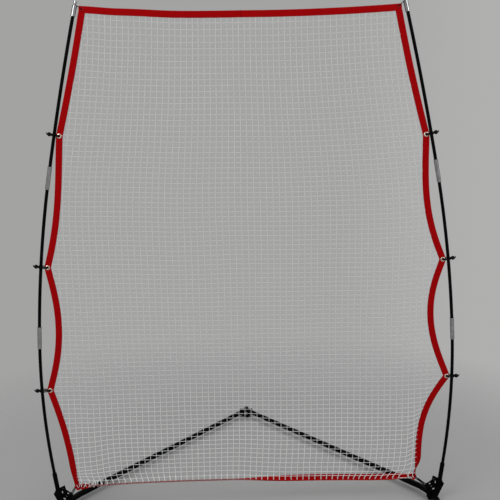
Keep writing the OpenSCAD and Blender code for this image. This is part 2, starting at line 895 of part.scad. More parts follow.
// Each gap of the netting as four corners
cells = [
  for (i = [0 : net_columns - 1])
    for (j = [0 : net_rows - 1])
      [
        grid_point(i, j, 1, 1),
        grid_point(i + 1, j, -1, 1),
        grid_point(i + 1, j + 1, -1, -1),
        grid_point(i, j + 1, 1, -1),
      ],
];
tuck_off = net_tuck - web_half;
tuck_low = net_clearance - tuck_off;
side_top_z = top_z(upper_corner[0], tuck_off);
function net_side(s) = [
  for (i = [0 : side_steps])
    let (z = tuck_low + (side_top_z - tuck_low) * i / side_steps)
    [side_x(s, z, tuck_off), z],
];
top_right = side_x(1, side_top_z, tuck_off);
top_left = -side_x(-1, side_top_z, tuck_off);
net_top = [
  for (i = [1 : top_steps - 1])
    let (x = top_right + (top_left - top_right) * i / top_steps)
    [x, top_z(x, tuck_off)],
];
function mirrored(points) =
  [for (i = [len(points) - 1 : -1 : 0]) [-points[i][0], points[i][1]]];
net_edge = concat(net_side(1), net_top, mirrored(net_side(-1)));

module net_mesh() {
  color(net_white) flat_in_plane(net_t) difference() {
    polygon(net_edge);
    for (cell = cells) polygon(cell);
  }
}

// Strip between two offsets from the side border's middle line
module side_strip(s, off_in, off_out, low = side_low) {
  zs = [for (z = side_zs) max(z, low)];
  polygon(concat(
    [for (z = zs) [side_x(s, z, off_in), z]],
    [for (i = [side_steps : -1 : 0]) [side_x(s, zs[i], off_out), zs[i]]]
  ));
}

module top_strip(off_low, off_high, half_width) {
  xs = [for (i = [0 : top_steps]) half_width * (2 * i / top_steps - 1)];
  polygon(concat(
    [for (x = xs) [x, top_z(x, off_low)]],
    [for (i = [top_steps : -1 : 0]) [xs[i], top_z(xs[i], off_high)]]
  ));
}

corner_half = upper_corner[0] + web_half;

module side_border(s) {
  color(webbing_red) difference() {
    flat_in_plane(border_t) side_strip(s, -web_half, web_half);
    flat_in_plane(fold_gap)
      side_strip(s, -web_half - past, web_half - fold_edge, side_low + fold_edge);
    flat_in_plane(border_t + past) top_strip(-web_half - loose, 3 * web_half, corner_half + past);
    for (i = [0 : 2])
      cross_bar(grommet_place(s, i), barrel_r + slip, -border_t, border_t);
  }
}

module top_border() {
  color(webbing_red) difference() {
    flat_in_plane(border_t) top_strip(-web_half, web_half, corner_half);
    flat_in_plane(fold_gap) top_strip(-web_half - past, web_half - fold_edge, corner_half - fold_edge);
    for (s = [-1, 1])
      cross_bar([s * upper_corner[0], upper_corner[1]], eyelet_r + slip, -border_t, border_t);
  }
}

// Reach of the lower border to side s, up to the side border
function bottom_reach(s) =
  min(side_x(s, side_low, -web_half), side_x(s, inner_low, -web_half)) - loose;

module bottom_border() {
  left = bottom_reach(-1);
  length = left + bottom_reach(1);
  color(webbing_red) difference() {
    flat_in_plane(border_t)
      translate([-left, side_low])
      square([length, webbing_w]);
    flat_in_plane(fold_gap)
      translate([-left - past, side_low + fold_edge])
      square([length + 2 * past, webbing_w]);
  }
}

// Two-part eyelet: barrel through the webbing, with a flange on each face
barrel_r = grommet_hole / 2 + 1;
eyelet_r = 4.6;
corner_flange = 1.4;
flange_t = 1;
module eyelet(place, outer, hole) {
  half = border_t / 2;
  barrel = hole + 1;
  translate([place[0], pole_y, place[1]])
    rotate([90, 0, 0])
    rotate_extrude()
    polygon([
      [hole, -half - flange_t],
      [outer - 1, -half - flange_t],
      [outer, -half - slip],
      [barrel, -half - slip],
      [barrel, half + slip],
      [outer, half + slip],
      [outer - 1, half + flange_t],
      [hole, half + flange_t],
    ]);
}

module net_grommets() {
  color(bright_steel)
    for (s = [-1, 1])
      on_side(s)
        for (i = [0 : 2])
          eyelet(grommet_place(s, i), grommet_od / 2, grommet_hole / 2);
}

// Eyelets bound with red thread
module net_corner_eyelets() {
  color(webbing_red)
    for (s = [-1, 1])
      on_side(s) eyelet(upper_corner, eyelet_r + corner_flange, eyelet_r - 1);
}

// Nodes ----------------------------------------------------------------

hub_plate(plate_low);  // hub_lower_plate
hub_plate(plate_high);  // hub_upper_plate
hub_spacer();
hub_clamp_screw();
hub_washer();
hub_pivot_bolts();
hub_pivot_nuts();
hub_foot();
hub_knob();
net_mesh();
top_border();  // net_top_border
bottom_border();  // net_bottom_border
on_side(-1) side_border(-1);  // net_left_border
on_side(1) side_border(1);  // net_right_border
net_grommets();
net_corner_eyelets();
on_side(-1) leg_tube();  // left_leg_tube
on_side(1) leg_tube();  // right_leg_tube
on_side(-1) hinge_insert();  // left_hinge_insert
on_side(1) hinge_insert();  // right_hinge_insert
on_side(-1) elbow();  // left_elbow
on_side(1) elbow();  // right_elbow
on_side(-1) elbow_screw();  // left_elbow_screw
on_side(1) elbow_screw();  // right_elbow_screw
on_side(-1) front_foot();  // left_front_foot
on_side(1) front_foot();  // right_front_foot
on_side(-1) bracket_plate(-plate_mid);  // left_bracket_front
on_side(1) bracket_plate(-plate_mid);  // right_bracket_front
on_side(-1) bracket_plate(plate_mid);  // left_bracket_rear
on_side(1) bracket_plate(plate_mid);  // right_bracket_rear
on_side(-1) socket();  // left_socket
on_side(1) socket();  // right_socket
on_side(-1) socket_plug();  // left_socket_plug
on_side(1) socket_plug();  // right_socket_plug
on_side(-1) bracket_bolts();  // left_bracket_bolts
on_side(1) bracket_bolts();  // right_bracket_bolts
on_side(-1) bracket_nuts();  // left_bracket_nuts
on_side(1) bracket_nuts();  // right_bracket_nuts
on_side(-1) corner_strap(-1);  // left_corner_strap
on_side(1) corner_strap(1);  // right_corner_strap
on_side(-1) rod_lower();  // left_rod_lower
on_side(1) rod_lower();  // right_rod_lower
on_side(-1) color(steel_black) bent_rod(1);  // left_rod_middle
on_side(1) color(steel_black) bent_rod(1);  // right_rod_middle
on_side(-1) color(steel_black) bent_rod(2);  // left_rod_upper
on_side(1) color(steel_black) bent_rod(2);  // right_rod_upper
on_side(-1) ferrule(0);  // left_ferrule_lower
on_side(1) ferrule(0);  // right_ferrule_lower
on_side(-1) ferrule(1);  // left_ferrule_upper
on_side(1) ferrule(1);  // right_ferrule_upper
on_side(-1) pole_cap();  // left_pole_cap
on_side(1) pole_cap();  // right_pole_cap
on_side(-1) clip_balls(-1);  // left_clip_balls
on_side(1) clip_balls(1);  // right_clip_balls
on_side(-1) clip_cords(-1);  // left_clip_cords
on_side(1) clip_cords(1);  // right_clip_cords
on_side(-1) top_loop();  // left_top_loop
on_side(1) top_loop();  // right_top_loop
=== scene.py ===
import json
import math
import random

import bpy
from mathutils import Matrix, Vector, noise


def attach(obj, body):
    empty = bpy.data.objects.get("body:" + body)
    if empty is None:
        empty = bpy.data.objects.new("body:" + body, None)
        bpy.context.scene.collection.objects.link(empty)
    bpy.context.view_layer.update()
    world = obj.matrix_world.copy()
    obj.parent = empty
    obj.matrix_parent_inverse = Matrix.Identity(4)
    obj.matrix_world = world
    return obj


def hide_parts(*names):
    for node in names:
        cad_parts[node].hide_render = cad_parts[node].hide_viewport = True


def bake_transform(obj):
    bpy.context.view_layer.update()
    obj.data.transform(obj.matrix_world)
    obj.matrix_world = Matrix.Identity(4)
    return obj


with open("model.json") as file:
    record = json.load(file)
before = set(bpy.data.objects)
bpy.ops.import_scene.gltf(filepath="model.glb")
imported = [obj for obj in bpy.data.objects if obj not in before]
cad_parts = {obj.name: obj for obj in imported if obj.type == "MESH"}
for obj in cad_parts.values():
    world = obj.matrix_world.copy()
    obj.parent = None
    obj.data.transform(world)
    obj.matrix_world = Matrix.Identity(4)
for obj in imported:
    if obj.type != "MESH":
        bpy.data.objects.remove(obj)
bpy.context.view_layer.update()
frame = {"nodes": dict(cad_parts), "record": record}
random.seed(11)

# Everything is in metres. X points right, Y to the rear and Z up. POLE_Y is the
# plane of both poles, and WEB_HALF half the width of the border webbing.
POLE_Y = -0.383
WEB_HALF = 0.0125

# --- Camera ---

CAMERA_AT = Vector((-0.0373, POLE_Y - 2.8327, 1.577))
CAMERA_PITCH = math.radians(10.222)
CAMERA_YAW = math.radians(1.116)
CAMERA_ROLL = math.radians(-1.002)
FOCAL_PIXELS = 744.0
IMAGE_PIXELS = 500.0
SENSOR = 36.0


def make_camera():
    data = bpy.data.cameras.new("camera")
    data.sensor_width = SENSOR
    data.lens = SENSOR * FOCAL_PIXELS / IMAGE_PIXELS
    data.clip_end = 100
    camera = bpy.data.objects.new("camera", data)
    bpy.context.scene.collection.objects.link(camera)
    flat = math.cos(CAMERA_PITCH)
    ahead = Vector(
        (math.sin(CAMERA_YAW) * flat, math.cos(CAMERA_YAW) * flat, -math.sin(CAMERA_PITCH))
    )
    side = ahead.cross(Vector((0, 0, 1))).normalized()
    up = side.cross(ahead)
    turned_side = math.cos(CAMERA_ROLL) * side + math.sin(CAMERA_ROLL) * up
    turned_up = -math.sin(CAMERA_ROLL) * side + math.cos(CAMERA_ROLL) * up
    axes = Matrix((turned_side, turned_up, -ahead)).transposed()
    camera.matrix_world = Matrix.Translation(CAMERA_AT) @ axes.to_4x4()
    bpy.context.scene.camera = camera


make_camera()

# --- Shader building ---


class Tree:
    """Short calls for the nodes of a material or of the world."""

    def __init__(self, owner):
        owner.use_nodes = True
        self.tree = owner.node_tree

    def link(self, source, target):
        self.tree.links.new(source, target)

    def fill(self, socket, value):
        """Gives a socket a number, a colour or the output of another node."""
        if isinstance(value, (int, float)):
            socket.default_value = value
        elif isinstance(value, tuple):
            socket.default_value = (*value, 1)
        else:
            self.link(value, socket)

    def math(self, kind, a, b):
        node = self.tree.nodes.new("ShaderNodeMath")
        node.operation = kind
        for socket, value in zip(node.inputs, (a, b)):
            self.fill(socket, value)
        return node.outputs["Value"]

    def mix(self, factor, a, b, kind="MIX"):
        node = self.tree.nodes.new("ShaderNodeMix")
        node.data_type = "RGBA"
        node.blend_type = kind
        for name, value in (("Factor_Float", factor), ("A_Color", a), ("B_Color", b)):
            self.fill(next(s for s in node.inputs if s.identifier == name), value)
        return next(s for s in node.outputs if s.identifier == "Result_Color")

    def mix_shaders(self, factor, a, b):
        node = self.tree.nodes.new("ShaderNodeMixShader")
        for socket, source in zip(node.inputs, (factor, a, b)):
            self.link(source, socket)
        return node.outputs["Shader"]


class Shader(Tree):
    """A material under construction."""

    def __init__(self, name):
        self.material = bpy.data.materials.new(name)
        super().__init__(self.material)
        self.surface = self.tree.nodes["Principled BSDF"]
        self.coordinates = self.tree.nodes.new("ShaderNodeTexCoord")

    def place(self, kind="Object", scale=(1, 1, 1), turn=(0, 0, 0)):
        node = self.tree.nodes.new("ShaderNodeMapping")
        node.inputs["Scale"].default_value = scale
        node.inputs["Rotation"].default_value = turn
        self.link(self.coordinates.outputs[kind], node.inputs["Vector"])
        return node.outputs["Vector"]

    def noise(self, vector, scale, detail=3.0, rough=0.55):
        node = self.tree.nodes.new("ShaderNodeTexNoise")
        node.inputs["Scale"].default_value = scale
        node.inputs["Detail"].default_value = detail
        node.inputs["Roughness"].default_value = rough
        self.link(vector, node.inputs["Vector"])
        return node.outputs["Fac"]

    def bands(self, vector, scale):
        node = self.tree.nodes.new("ShaderNodeTexWave")
        node.inputs["Scale"].default_value = scale
        self.link(vector, node.inputs["Vector"])
        return node.outputs["Fac"]

    def crossed_bands(self, pitch, angle, scale):
        """Strands that run at plus and minus an angle."""
        one, other = (
            self.bands(self.place("UV", (1 / pitch, 1 / pitch, 1), (0, 0, turn)), scale)
            for turn in (angle, -angle)
        )
        return self.math("MAXIMUM", one, other)

    def ramp(self, value, stops):
        node = self.tree.nodes.new("ShaderNodeValToRGB")
        spots = node.color_ramp.elements
        while len(spots) < len(stops):
            spots.new(0.5)
        for spot, (at, colour) in zip(spots, stops):
            spot.position = at
            if isinstance(colour, (int, float)):
                colour = (colour, colour, colour)
            spot.color = (*colour, 1)
        self.link(value, node.inputs["Fac"])
        return node.outputs["Color"]

    def bump(self, height, strength, distance, below=None):
        node = self.tree.nodes.new("ShaderNodeBump")
        node.inputs["Strength"].default_value = strength
        node.inputs["Distance"].default_value = distance
        self.link(height, node.inputs["Height"])
        if below is not None:
            self.link(below, node.inputs["Normal"])
        return node.outputs["Normal"]

    def finish(self, colour, rough, normal=None, constants=()):
        self.fill(self.surface.inputs["Base Color"], colour)
        self.fill(self.surface.inputs["Roughness"], rough)
        if normal is not None:
            self.link(normal, self.surface.inputs["Normal"])
        for name, value in constants:
            self.surface.inputs[name].default_value = value
        return self.material


DULL = [("Specular IOR Level", 0.025)]
METAL = [("Metallic", 1.0)]


def powder_coat():
    s = Shader("powder_coat")
    where = s.place()
    cloud = s.noise(where, 35, 4)
    grain = s.noise(where, 2600, 2)
    scratches = s.noise(s.place(scale=(30, 260, 260), turn=(0.3, 0.2, 0.5)), 4, 5, 0.7)
    scuff = s.ramp(scratches, [(0.66, 0.0), (0.74, 1.0)])
    base = s.ramp(cloud, [(0.3, (0.0010, 0.0010, 0.0011)), (0.7, (0.0026, 0.0026, 0.0029))])
    colour = s.mix(scuff, base, (0.008, 0.008, 0.0087))
    rough = s.ramp(s.noise(where, 240, 3), [(0.3, 0.34), (0.7, 0.5)])
    return s.finish(colour, rough, s.bump(grain, 0.25, 0.0004), DULL)


def fibreglass():
    s = Shader("fibreglass")
    streaks = s.noise(s.place(scale=(520, 520, 9)), 1, 4, 0.6)
    worn = s.ramp(s.noise(s.place(), 14, 5, 0.65), [(0.45, 0.0), (0.75, 1.0)])
    base = s.ramp(streaks, [(0.3, (0.0008, 0.0008, 0.001)), (0.75, (0.0024, 0.0024, 0.0028))])
    colour = s.mix(worn, base, (0.0042, 0.0042, 0.0046))
    rough = s.ramp(streaks, [(0.25, 0.26), (0.8, 0.42)])
    return s.finish(colour, rough, s.bump(streaks, 0.12, 0.0003), DULL)


def polished_metal():
    s = Shader("polished_metal")
    turned = s.noise(s.place(scale=(30, 30, 3600)), 1, 3, 0.6)
    cloud = s.noise(s.place(), 60, 4)
    colour = s.ramp(cloud, [(0.25, (0.30, 0.305, 0.315)), (0.75, (0.48, 0.485, 0.49))])
    rough = s.ramp(turned, [(0.25, 0.16), (0.8, 0.3)])
    # Painted reflection: a near black edge tint darkens the metal towards its rims, in place of
    # dark surroundings reflected there.
    painted_dark_edge_reflection = METAL + [("Specular Tint", (0.02, 0.02, 0.02, 1.0))]
    return s.finish(colour, rough, s.bump(turned, 0.1, 0.0002), painted_dark_edge_reflection)


def mottled(name, tone, dark, light, rough, roughs, bump, grain=None, constants=()):
    """Plain surface. tone and grain are each the scale and detail of a noise."""
    s = Shader(name)
    where = s.place()
    cloud = s.noise(where, *tone)
    colour = s.ramp(cloud, [(0.3, dark), (0.7, light)])
    rough = s.ramp(s.noise(where, rough, 3), roughs)
    height = s.noise(where, *grain) if grain else cloud
    return s.finish(colour, rough, s.bump(height, *bump), constants)


def moulded_rubber():
    s = Shader("moulded_rubber")
    where = s.place()
    dust = s.ramp(s.noise(where, 45, 5, 0.65), [(0.45, 0.0), (0.8, 1.0)])
    colour = s.mix(dust, (0.004, 0.004, 0.004), (0.022, 0.021, 0.02))
    rough = s.ramp(s.noise(where, 300, 3), [(0.3, 0.62), (0.7, 0.82)])
    return s.finish(colour, rough, s.bump(s.noise(where, 1800, 3), 0.3, 0.0004), DULL)


def woven_webbing(name, dark, light, edge):
    """Flat webbing: UV runs in metres, U along the strip and V round its section."""
    s = Shader(name)
    weave = s.crossed_bands(0.0011, 0.62, 0.32)
    fade = s.noise(s.place(), 16, 5, 0.6)
    fibre = s.noise(s.place("UV", (900, 3600, 1)), 1, 3)
    shade = s.ramp(weave, [(0.15, 0.45), (0.85, 1.0)])
    tone = s.mix(1.0, s.mix(fade, dark, light), shade, "MULTIPLY")
    tone = s.mix(s.ramp(fibre, [(0.55, 0.0), (0.8, 0.35)]), tone, edge)
    rough = s.ramp(fibre, [(0.2, 0.68), (0.8, 0.88)])
    normal = s.bump(weave, 0.55, 0.0005, s.bump(fibre, 0.25, 0.0002))
    return s.finish(tone, rough, normal, [("Specular IOR Level", 0.03)])


def braided_cord(name, dark, light, strand, rough_low=0.7, painted_light_gain=0.0):
    """Round cord, with UV as in webbing. A gain above 0 paints light on it near the ground,
    making it brighter there.
    """
    s = Shader(name)
    braid = s.crossed_bands(strand, 0.75, 0.3)
    cloud = s.noise(s.place(), 22, 4)
    shade = s.mix(cloud, dark, light)
    # Painted light: below 0.30 m up the cord is mixed towards a lighter colour, fading out by
    # 0.55 m.
    if painted_light_gain:
        height = s.tree.nodes.new("ShaderNodeSeparateXYZ")
        s.link(s.place(), height.inputs["Vector"])
        bright = tuple(min(0.92, c * (1 + painted_light_gain)) for c in light)
        shade = s.mix(s.ramp(height.outputs["Z"], [(0.30, 1.0), (0.55, 0.0)]), shade, bright)
    colour = s.mix(1.0, shade, s.ramp(braid, [(0.1, 0.6), (0.8, 1.0)]), "MULTIPLY")
    rough = s.ramp(s.noise(s.place(), 700, 2), [(0.3, rough_low), (0.7, rough_low + 0.15)])
    normal = s.bump(braid, 0.5, strand * 0.3)
    return s.finish(colour, rough, normal, [("Specular IOR Level", 0.06)])


def sewing_thread():
    s = Shader("red_thread")
    twist = s.bands(s.place(turn=(0.4, 0.5, 0.6)), 900)
    colour = s.ramp(twist, [(0.1, (0.2, 0.002, 0.004)), (0.9, (0.42, 0.006, 0.01))])
    return s.finish(colour, 0.55, s.bump(twist, 0.3, 0.0002), [("Specular IOR Level", 0.1)])


MATERIAL = {
    "black_steel": powder_coat(),
    "fibreglass": fibreglass(),
    "bright_metal": polished_metal(),
    "zinc_steel": mottled(
        "zinc_plate", (420, 2), (0.36, 0.37, 0.39), (0.58, 0.58, 0.56),
        900, [(0.3, 0.28), (0.75, 0.46)], (0.12, 0.0003), None, METAL,
    ),
    "nickel": mottled(
        "brass_nickel", (260, 4), (0.62, 0.55, 0.42), (0.8, 0.77, 0.7),
        1200, [(0.3, 0.2), (0.8, 0.36)], (0.1, 0.0002), None, METAL,
    ),
    "rubber": moulded_rubber(),
    "black_plastic": mottled(
        "moulded_plastic", (80, 3), (0.003, 0.003, 0.0033), (0.0075, 0.0075, 0.008),
        500, [(0.3, 0.38), (0.7, 0.52)], (0.2, 0.0003), (3400, 2), DULL,
    ),
    "grey_plastic": mottled(
        "grey_nylon", (70, 3), (0.045, 0.045, 0.048), (0.075, 0.075, 0.08),
        400, [(0.3, 0.42), (0.7, 0.58)], (0.2, 0.0003), (2600, 2),
    ),
    "webbing": woven_webbing(
        "red_webbing", (0.285, 0.0006, 0.0012), (0.36, 0.0009, 0.002), (0.41, 0.007, 0.011)
    ),
    "black_webbing": woven_webbing(
        "black_webbing", (0.003, 0.003, 0.003), (0.008, 0.008, 0.008), (0.02, 0.02, 0.02)
    ),
    "elastic": braided_cord(
        "black_elastic", (0.0015, 0.0015, 0.0018), (0.005, 0.005, 0.0054), 0.0012
    ),
    # The netting's last number paints light on it near the ground.
    "netting": braided_cord(
        "white_netting", (0.60, 0.61, 0.60), (0.71, 0.72, 0.71), 0.0009, 0.6, 0.20
    ),
    "thread": sewing_thread(),
}

# --- Poles and net lines, from the same sizes as the solids ---

LEFT, RIGHT = -1, 1

# The pole leans out by FOOT_LEAN and is straight up to BEND_START. From there each
# rod turns inwards by some degrees up to its end. Distances run up the pole's axis.
FOOT_X = 0.772
FOOT_LEAN = math.radians(7.4)
BEND_START = 0.170
ROD_ENDS = (0.736, 1.366, 1.996)
TURNS = (10.6, 7.4, 3.2)

# Places of the clips up the pole, and how far their grommets are from its axis
CLIPS = {LEFT: (0.5175, 1.020, 1.529), RIGHT: (0.5385, 1.020, 1.511)}
INSETS = {LEFT: (0.033, 0.026, 0.0195), RIGHT: (0.0215, 0.0215, 0.0195)}
CLIP_COUNT = 3

# Upper corners: distance and direction from the pole cap's neck, and slack below that
NECK_MIDDLE = 2.0085
CORNER_GAP = 0.030
CORNER_DROP = math.radians(35)
CORNER_SLACK = {LEFT: 0.0009, RIGHT: 0.0085}

# The upper border sags, less so in its middle. Its left corner is tied higher, and
# the left half rises to that in two steps.
TOP_SAG = 0.0205
TOP_MIDDLE_LIFT = 0.0052
TOP_LEFT_RISES = (0.0044, 0.0032)

# Lower corners
LOW_X = {LEFT: 0.710, RIGHT: 0.688}
LOW_Z = 0.110


def smooth(a, b, value):
    """Goes smoothly from 0 at a to 1 at b, which may be below a."""
    t = min(1.0, max(0.0, (value - a) / (b - a)))
    return t * t * (3 - 2 * t)


def pole_place(distance):
    """X, Z and lean of the right pole's axis at a distance up it."""
    lean = FOOT_LEAN
    start = min(distance, BEND_START)
    x, z = FOOT_X + start * math.sin(lean), start * math.cos(lean)
    if distance <= BEND_START:
        return x, z, lean
    for number, (end, turn) in enumerate(zip(ROD_ENDS, TURNS)):
        radius = (end - start) / math.radians(turn)
        last = number == len(ROD_ENDS) - 1
        step = (distance if last or distance < end else end) - start
        after = lean - step / radius
        x += radius * (math.cos(after) - math.cos(lean))
        z += radius * (math.sin(lean) - math.sin(after))
        lean = after
        if distance < end:
            break
        start = end
    return x, z, lean


def grommet_place(sign, number):
    """Distance from the net's middle and height of a grommet."""
    x, z, lean = pole_place(CLIPS[sign][number])
    inset = INSETS[sign][number]
    return x - inset * math.cos(lean), z + inset * math.sin(lean)


neck_x, neck_z, _ = pole_place(NECK_MIDDLE)
CORNER_HIGH = (
    neck_x - CORNER_GAP * math.cos(CORNER_DROP),
    neck_z - CORNER_GAP * math.sin(CORNER_DROP),
)
CORNERS = {sign: (CORNER_HIGH[0], CORNER_HIGH[1] - CORNER_SLACK[sign]) for sign in (LEFT, RIGHT)}
# A side border is held at its lower corner, at its grommets and at its upper corner
KNOTS = {
    sign: (
        (LOW_X[sign], LOW_Z),
        *(grommet_place(sign, i) for i in range(CLIP_COUNT)),
        CORNERS[sign],
    )
    for sign in (LEFT, RIGHT)
}
# Inward bow of each of the spans between those, from the ground up. A skew above 0
# makes the span's lower half bow further than its upper half.
BOWS = {LEFT: (0.013, 0.038, 0.015, 0.0035), RIGHT: (0.043, 0.0555, 0.030, 0.0045)}
SKEWS = {LEFT: (0.0, 0.05, 0.4, 0.0), RIGHT: (-0.45, -0.1, 0.3, 0.0)}
BOW_SHAPE = 1.15


def side_of(x):
    return LEFT if x < 0 else RIGHT


def side_x(sign, z):
    """Middle of a side's border at height z, as a distance from the net's middle."""
    knots = KNOTS[sign]
    span = 0
    while span < len(knots) - 2 and z > knots[span + 1][1]:
        span += 1
    (x0, z0), (x1, z1) = knots[span], knots[span + 1]
    t = (z - z0) / (z1 - z0)
    bow = max(0.0, 4 * t * (1 - t)) ** BOW_SHAPE * (1 + SKEWS[sign][span] * (1 - 2 * t))
    return x0 + (x1 - x0) * t - BOWS[sign][span] * bow


def top_z(x):
    """Middle of the upper border at x."""
    reach = CORNER_HIGH[0]
    first, second = TOP_LEFT_RISES
    rise = first * smooth(-0.22, -0.42, x) + second * smooth(-0.45, -reach, x)
    lift = TOP_MIDDLE_LIFT * (1 - abs(x) / reach)
    return CORNERS[RIGHT][1] + lift + rise - TOP_SAG * (1 - (x / reach) ** 2)


# --- Mesh building ---

FLAT = (0.0, 0.0)  # UV of faces that show no pattern along a strip


class Builder:
    """Collects vertices, faces and UVs of one piece."""

    def __init__(self):
        self.points, self.faces, self.uvs, self.slots = [], [], [], []

    def face(self, corners, uvs, slot=0):
        self.faces.append(corners)
        self.uvs.extend(uvs)
        self.slots.append(slot)

    def strip(self, rings, lengths, rounds, closed=False):
        """Skins rings of points. lengths is U for each ring, rounds is V for each point.

        A closed strip joins its last ring to its first, and any other gets end caps.
        """
        first = len(self.points)
        count = len(rings[0])
        for ring in rings:
            self.points.extend(ring)
        last = len(rings) - (0 if closed else 1)
        for i in range(last):
            k = (i + 1) % len(rings)
            u0 = lengths[i]
            u1 = lengths[i + 1] if i + 1 < len(lengths) else lengths[i] + lengths[1] - lengths[0]
            for j in range(count):
                m = (j + 1) % count
                v0, v1 = rounds[j], rounds[j + 1]
                near, far = first + i * count, first + k * count
                self.face(
                    (near + j, near + m, far + m, far + j),
                    ((u0, v0), (u0, v1), (u1, v1), (u1, v0)),
                )
        if not closed:
            for base, order in ((first, -1), (first + last * count, 1)):
                corners = [base + j for j in range(count)][::order]
                self.face(corners, [FLAT] * count)

    def object(self, name, materials):
        """The mesh object of all that was collected."""
        mesh = bpy.data.meshes.new(name)
        mesh.from_pydata([tuple(p) for p in self.points], [], self.faces)
        layer = mesh.uv_layers.new(name="UVMap")
        layer.data.foreach_set("uv", [c for uv in self.uvs for c in uv])
        for material in materials:
            mesh.materials.append(material)
        mesh.polygons.foreach_set("material_index", self.slots)
        mesh.polygons.foreach_set("use_smooth", [True] * len(self.faces))
        mesh.validate()
        mesh.update()
        piece = bpy.data.objects.new(name, mesh)
        bpy.context.scene.collection.objects.link(piece)
        return piece


def section_rounds(section):
    """Distance round a closed section at each of its points, and back at the first."""
    rounds = [0.0]
    for i, point in enumerate(section):
        after = section[(i + 1) % len(section)]
        rounds.append(rounds[-1] + math.dist(point, after))
    return rounds


def path_lengths(path):
    """Distance along a path at each of its points."""
    lengths = [0.0]
    for a, b in zip(path, path[1:]):
        lengths.append(lengths[-1] + (b - a).length)
    return lengths


def path_ahead(path, i):
    """Direction of an open path at one of its points."""
    return (path[min(i + 1, len(path) - 1)] - path[max(i - 1, 0)]).normalized()


def square_to(ahead, vector):
    """The direction nearest to a vector that is at right angles to ahead."""
    return (vector - ahead * vector.dot(ahead)).normalized()


def mirrored(half, tip):
    """Half of a profile, its tip, and the same half back on the other side."""
    return [*half, tip, *((a, -b) for a, b in half[::-1])]


def tube(builder, path, radius, sides=8, closed=False, across=None):
    """Round cord along a path, with frames that don't twist."""
    turns = [math.tau * i / sides for i in range(sides)]
    section = [(math.cos(turn), math.sin(turn)) for turn in turns]
    rounds = [radius * r for r in section_rounds(section)]
    rings = []
    count = len(path)
    reference = Vector(across) if across else None
    for i, point in enumerate(path):
        before = path[i - 1] if (i or closed) else point
        after = path[(i + 1) % count] if (i < count - 1 or closed) else point
        ahead = (after - before).normalized()
        if reference is None:
            reference = ahead.orthogonal()
        first = square_to(ahead, reference)
        second = ahead.cross(first)
        if across is None:
            reference = first
        rings.append([point + radius * (a * first + b * second) for a, b in section])
    builder.strip(rings, path_lengths(path), rounds, closed)


# --- Netting ---

CORD_R = 0.00072
LINE_SIDES = 6

# Columns stand further apart at the bottom, and rows lie further apart at the top
COLUMNS = 31
PITCH_TOP = 0.0212
PITCH_LOW = 0.0244
ROW_TOP = 0.0234
ROW_LOW = 0.0190

# The netting ends inside the webbing, this far inwards of the webbing's middle
TUCK = 0.0075

# Turn of the lower border: its left part shows an edge, its right part a face
EDGE_ON = math.radians(62)
FACE_ON = math.radians(155)
RIGHT_END_TURN = math.radians(118)
LEFT_END_TURN_BACK = EDGE_ON * 1.1

# Knots of the netting: half their size and how much that varies, and half their depth
KNOT_R = 0.0021
KNOT_VARIES = 0.0003
KNOT_DEPTH = 0.0015
KNOT_SIDES = 6
KNOT_TILT = math.radians(32)


def bottom_roll(x):
    """How far the lower border has turned over, from hanging straight down."""
    roll = EDGE_ON + (FACE_ON - EDGE_ON) * smooth(-0.10, 0.30, x)
    roll -= (FACE_ON - RIGHT_END_TURN) * smooth(0.63, 0.69, x)
    roll -= LEFT_END_TURN_BACK * smooth(-0.63, -0.69, x)
    return roll


def bottom_middle(x):
    """Middle of the lower border, which hangs lower towards both corners."""
    rise = 0.0033 * (smooth(-0.50, -0.20, x) - smooth(0.22, 0.45, x))
    dip = 0.003 * smooth(0.38, 0.52, x) * smooth(0.66, 0.56, x)
    rise -= 0.009 * smooth(-0.42, -0.70, x) + dip
    return Vector((x, POLE_Y, LOW_Z + rise))


def bottom_out(x):
    """Direction from the lower border's inner edge to its fold."""
    roll = bottom_roll(x)
    return Vector((0, math.sin(roll), -math.cos(roll)))


def row_levels():
    """Heights of the rows between 0 and 1, further apart towards the top."""
    low, high = LOW_Z, CORNER_HIGH[1] - TOP_SAG
    z, levels = low, [low]
    while z < high:
        z += ROW_LOW + (ROW_TOP - ROW_LOW) * smooth(1.3, 1.9, z)
        levels.append(z)
    return [(level - low) / (levels[-1] - low) for level in levels]


LEVELS = row_levels()


def sway(x, z):
    """Depth of the netting behind the plane of the poles."""
    edge = max(0.0, side_x(side_of(x), z) - WEB_HALF - abs(x))
    free = smooth(0.0, 0.25, edge) * smooth(0.0, 0.3, CORNER_HIGH[1] - z)
    low = smooth(0.0, 0.16, z - LOW_Z)
    wave = noise.noise(Vector((x * 2.1, z * 1.3, 3.7))) * 0.011
    wave += noise.noise(Vector((x * 6.0, z * 4.5, 9.1))) * 0.0035
    return free * low * (wave + 0.006)


def row_pull(x, z):
    """Rise of the rows beside the lower right corner, and drop beside the left one."""
    inward = side_x(side_of(x), z) - abs(x)
    if x > 0:
        return 0.015 * smooth(0.045, 0.010, inward) * smooth(0.62, 0.30, z) * smooth(0.11, 0.2, z)
    return -0.024 * smooth(0.20, 0.01, inward) * smooth(0.44, 0.20, z) * smooth(0.12, 0.21, z)


def column_lean(x, level, slack):
    """Shift of a column to the side where it comes down to the lower border."""
    lean = -0.012 * slack * slack * smooth(-0.5, 0.3, x)
    lean += 0.007 * slack * slack * smooth(0.1, -0.6, x)
    at_hem = smooth(0.028, 0.0, level)
    lean -= 0.022 * at_hem * smooth(0.28, 0.58, x)
    return lean + 0.014 * at_hem * smooth(-0.25, -0.50, x)


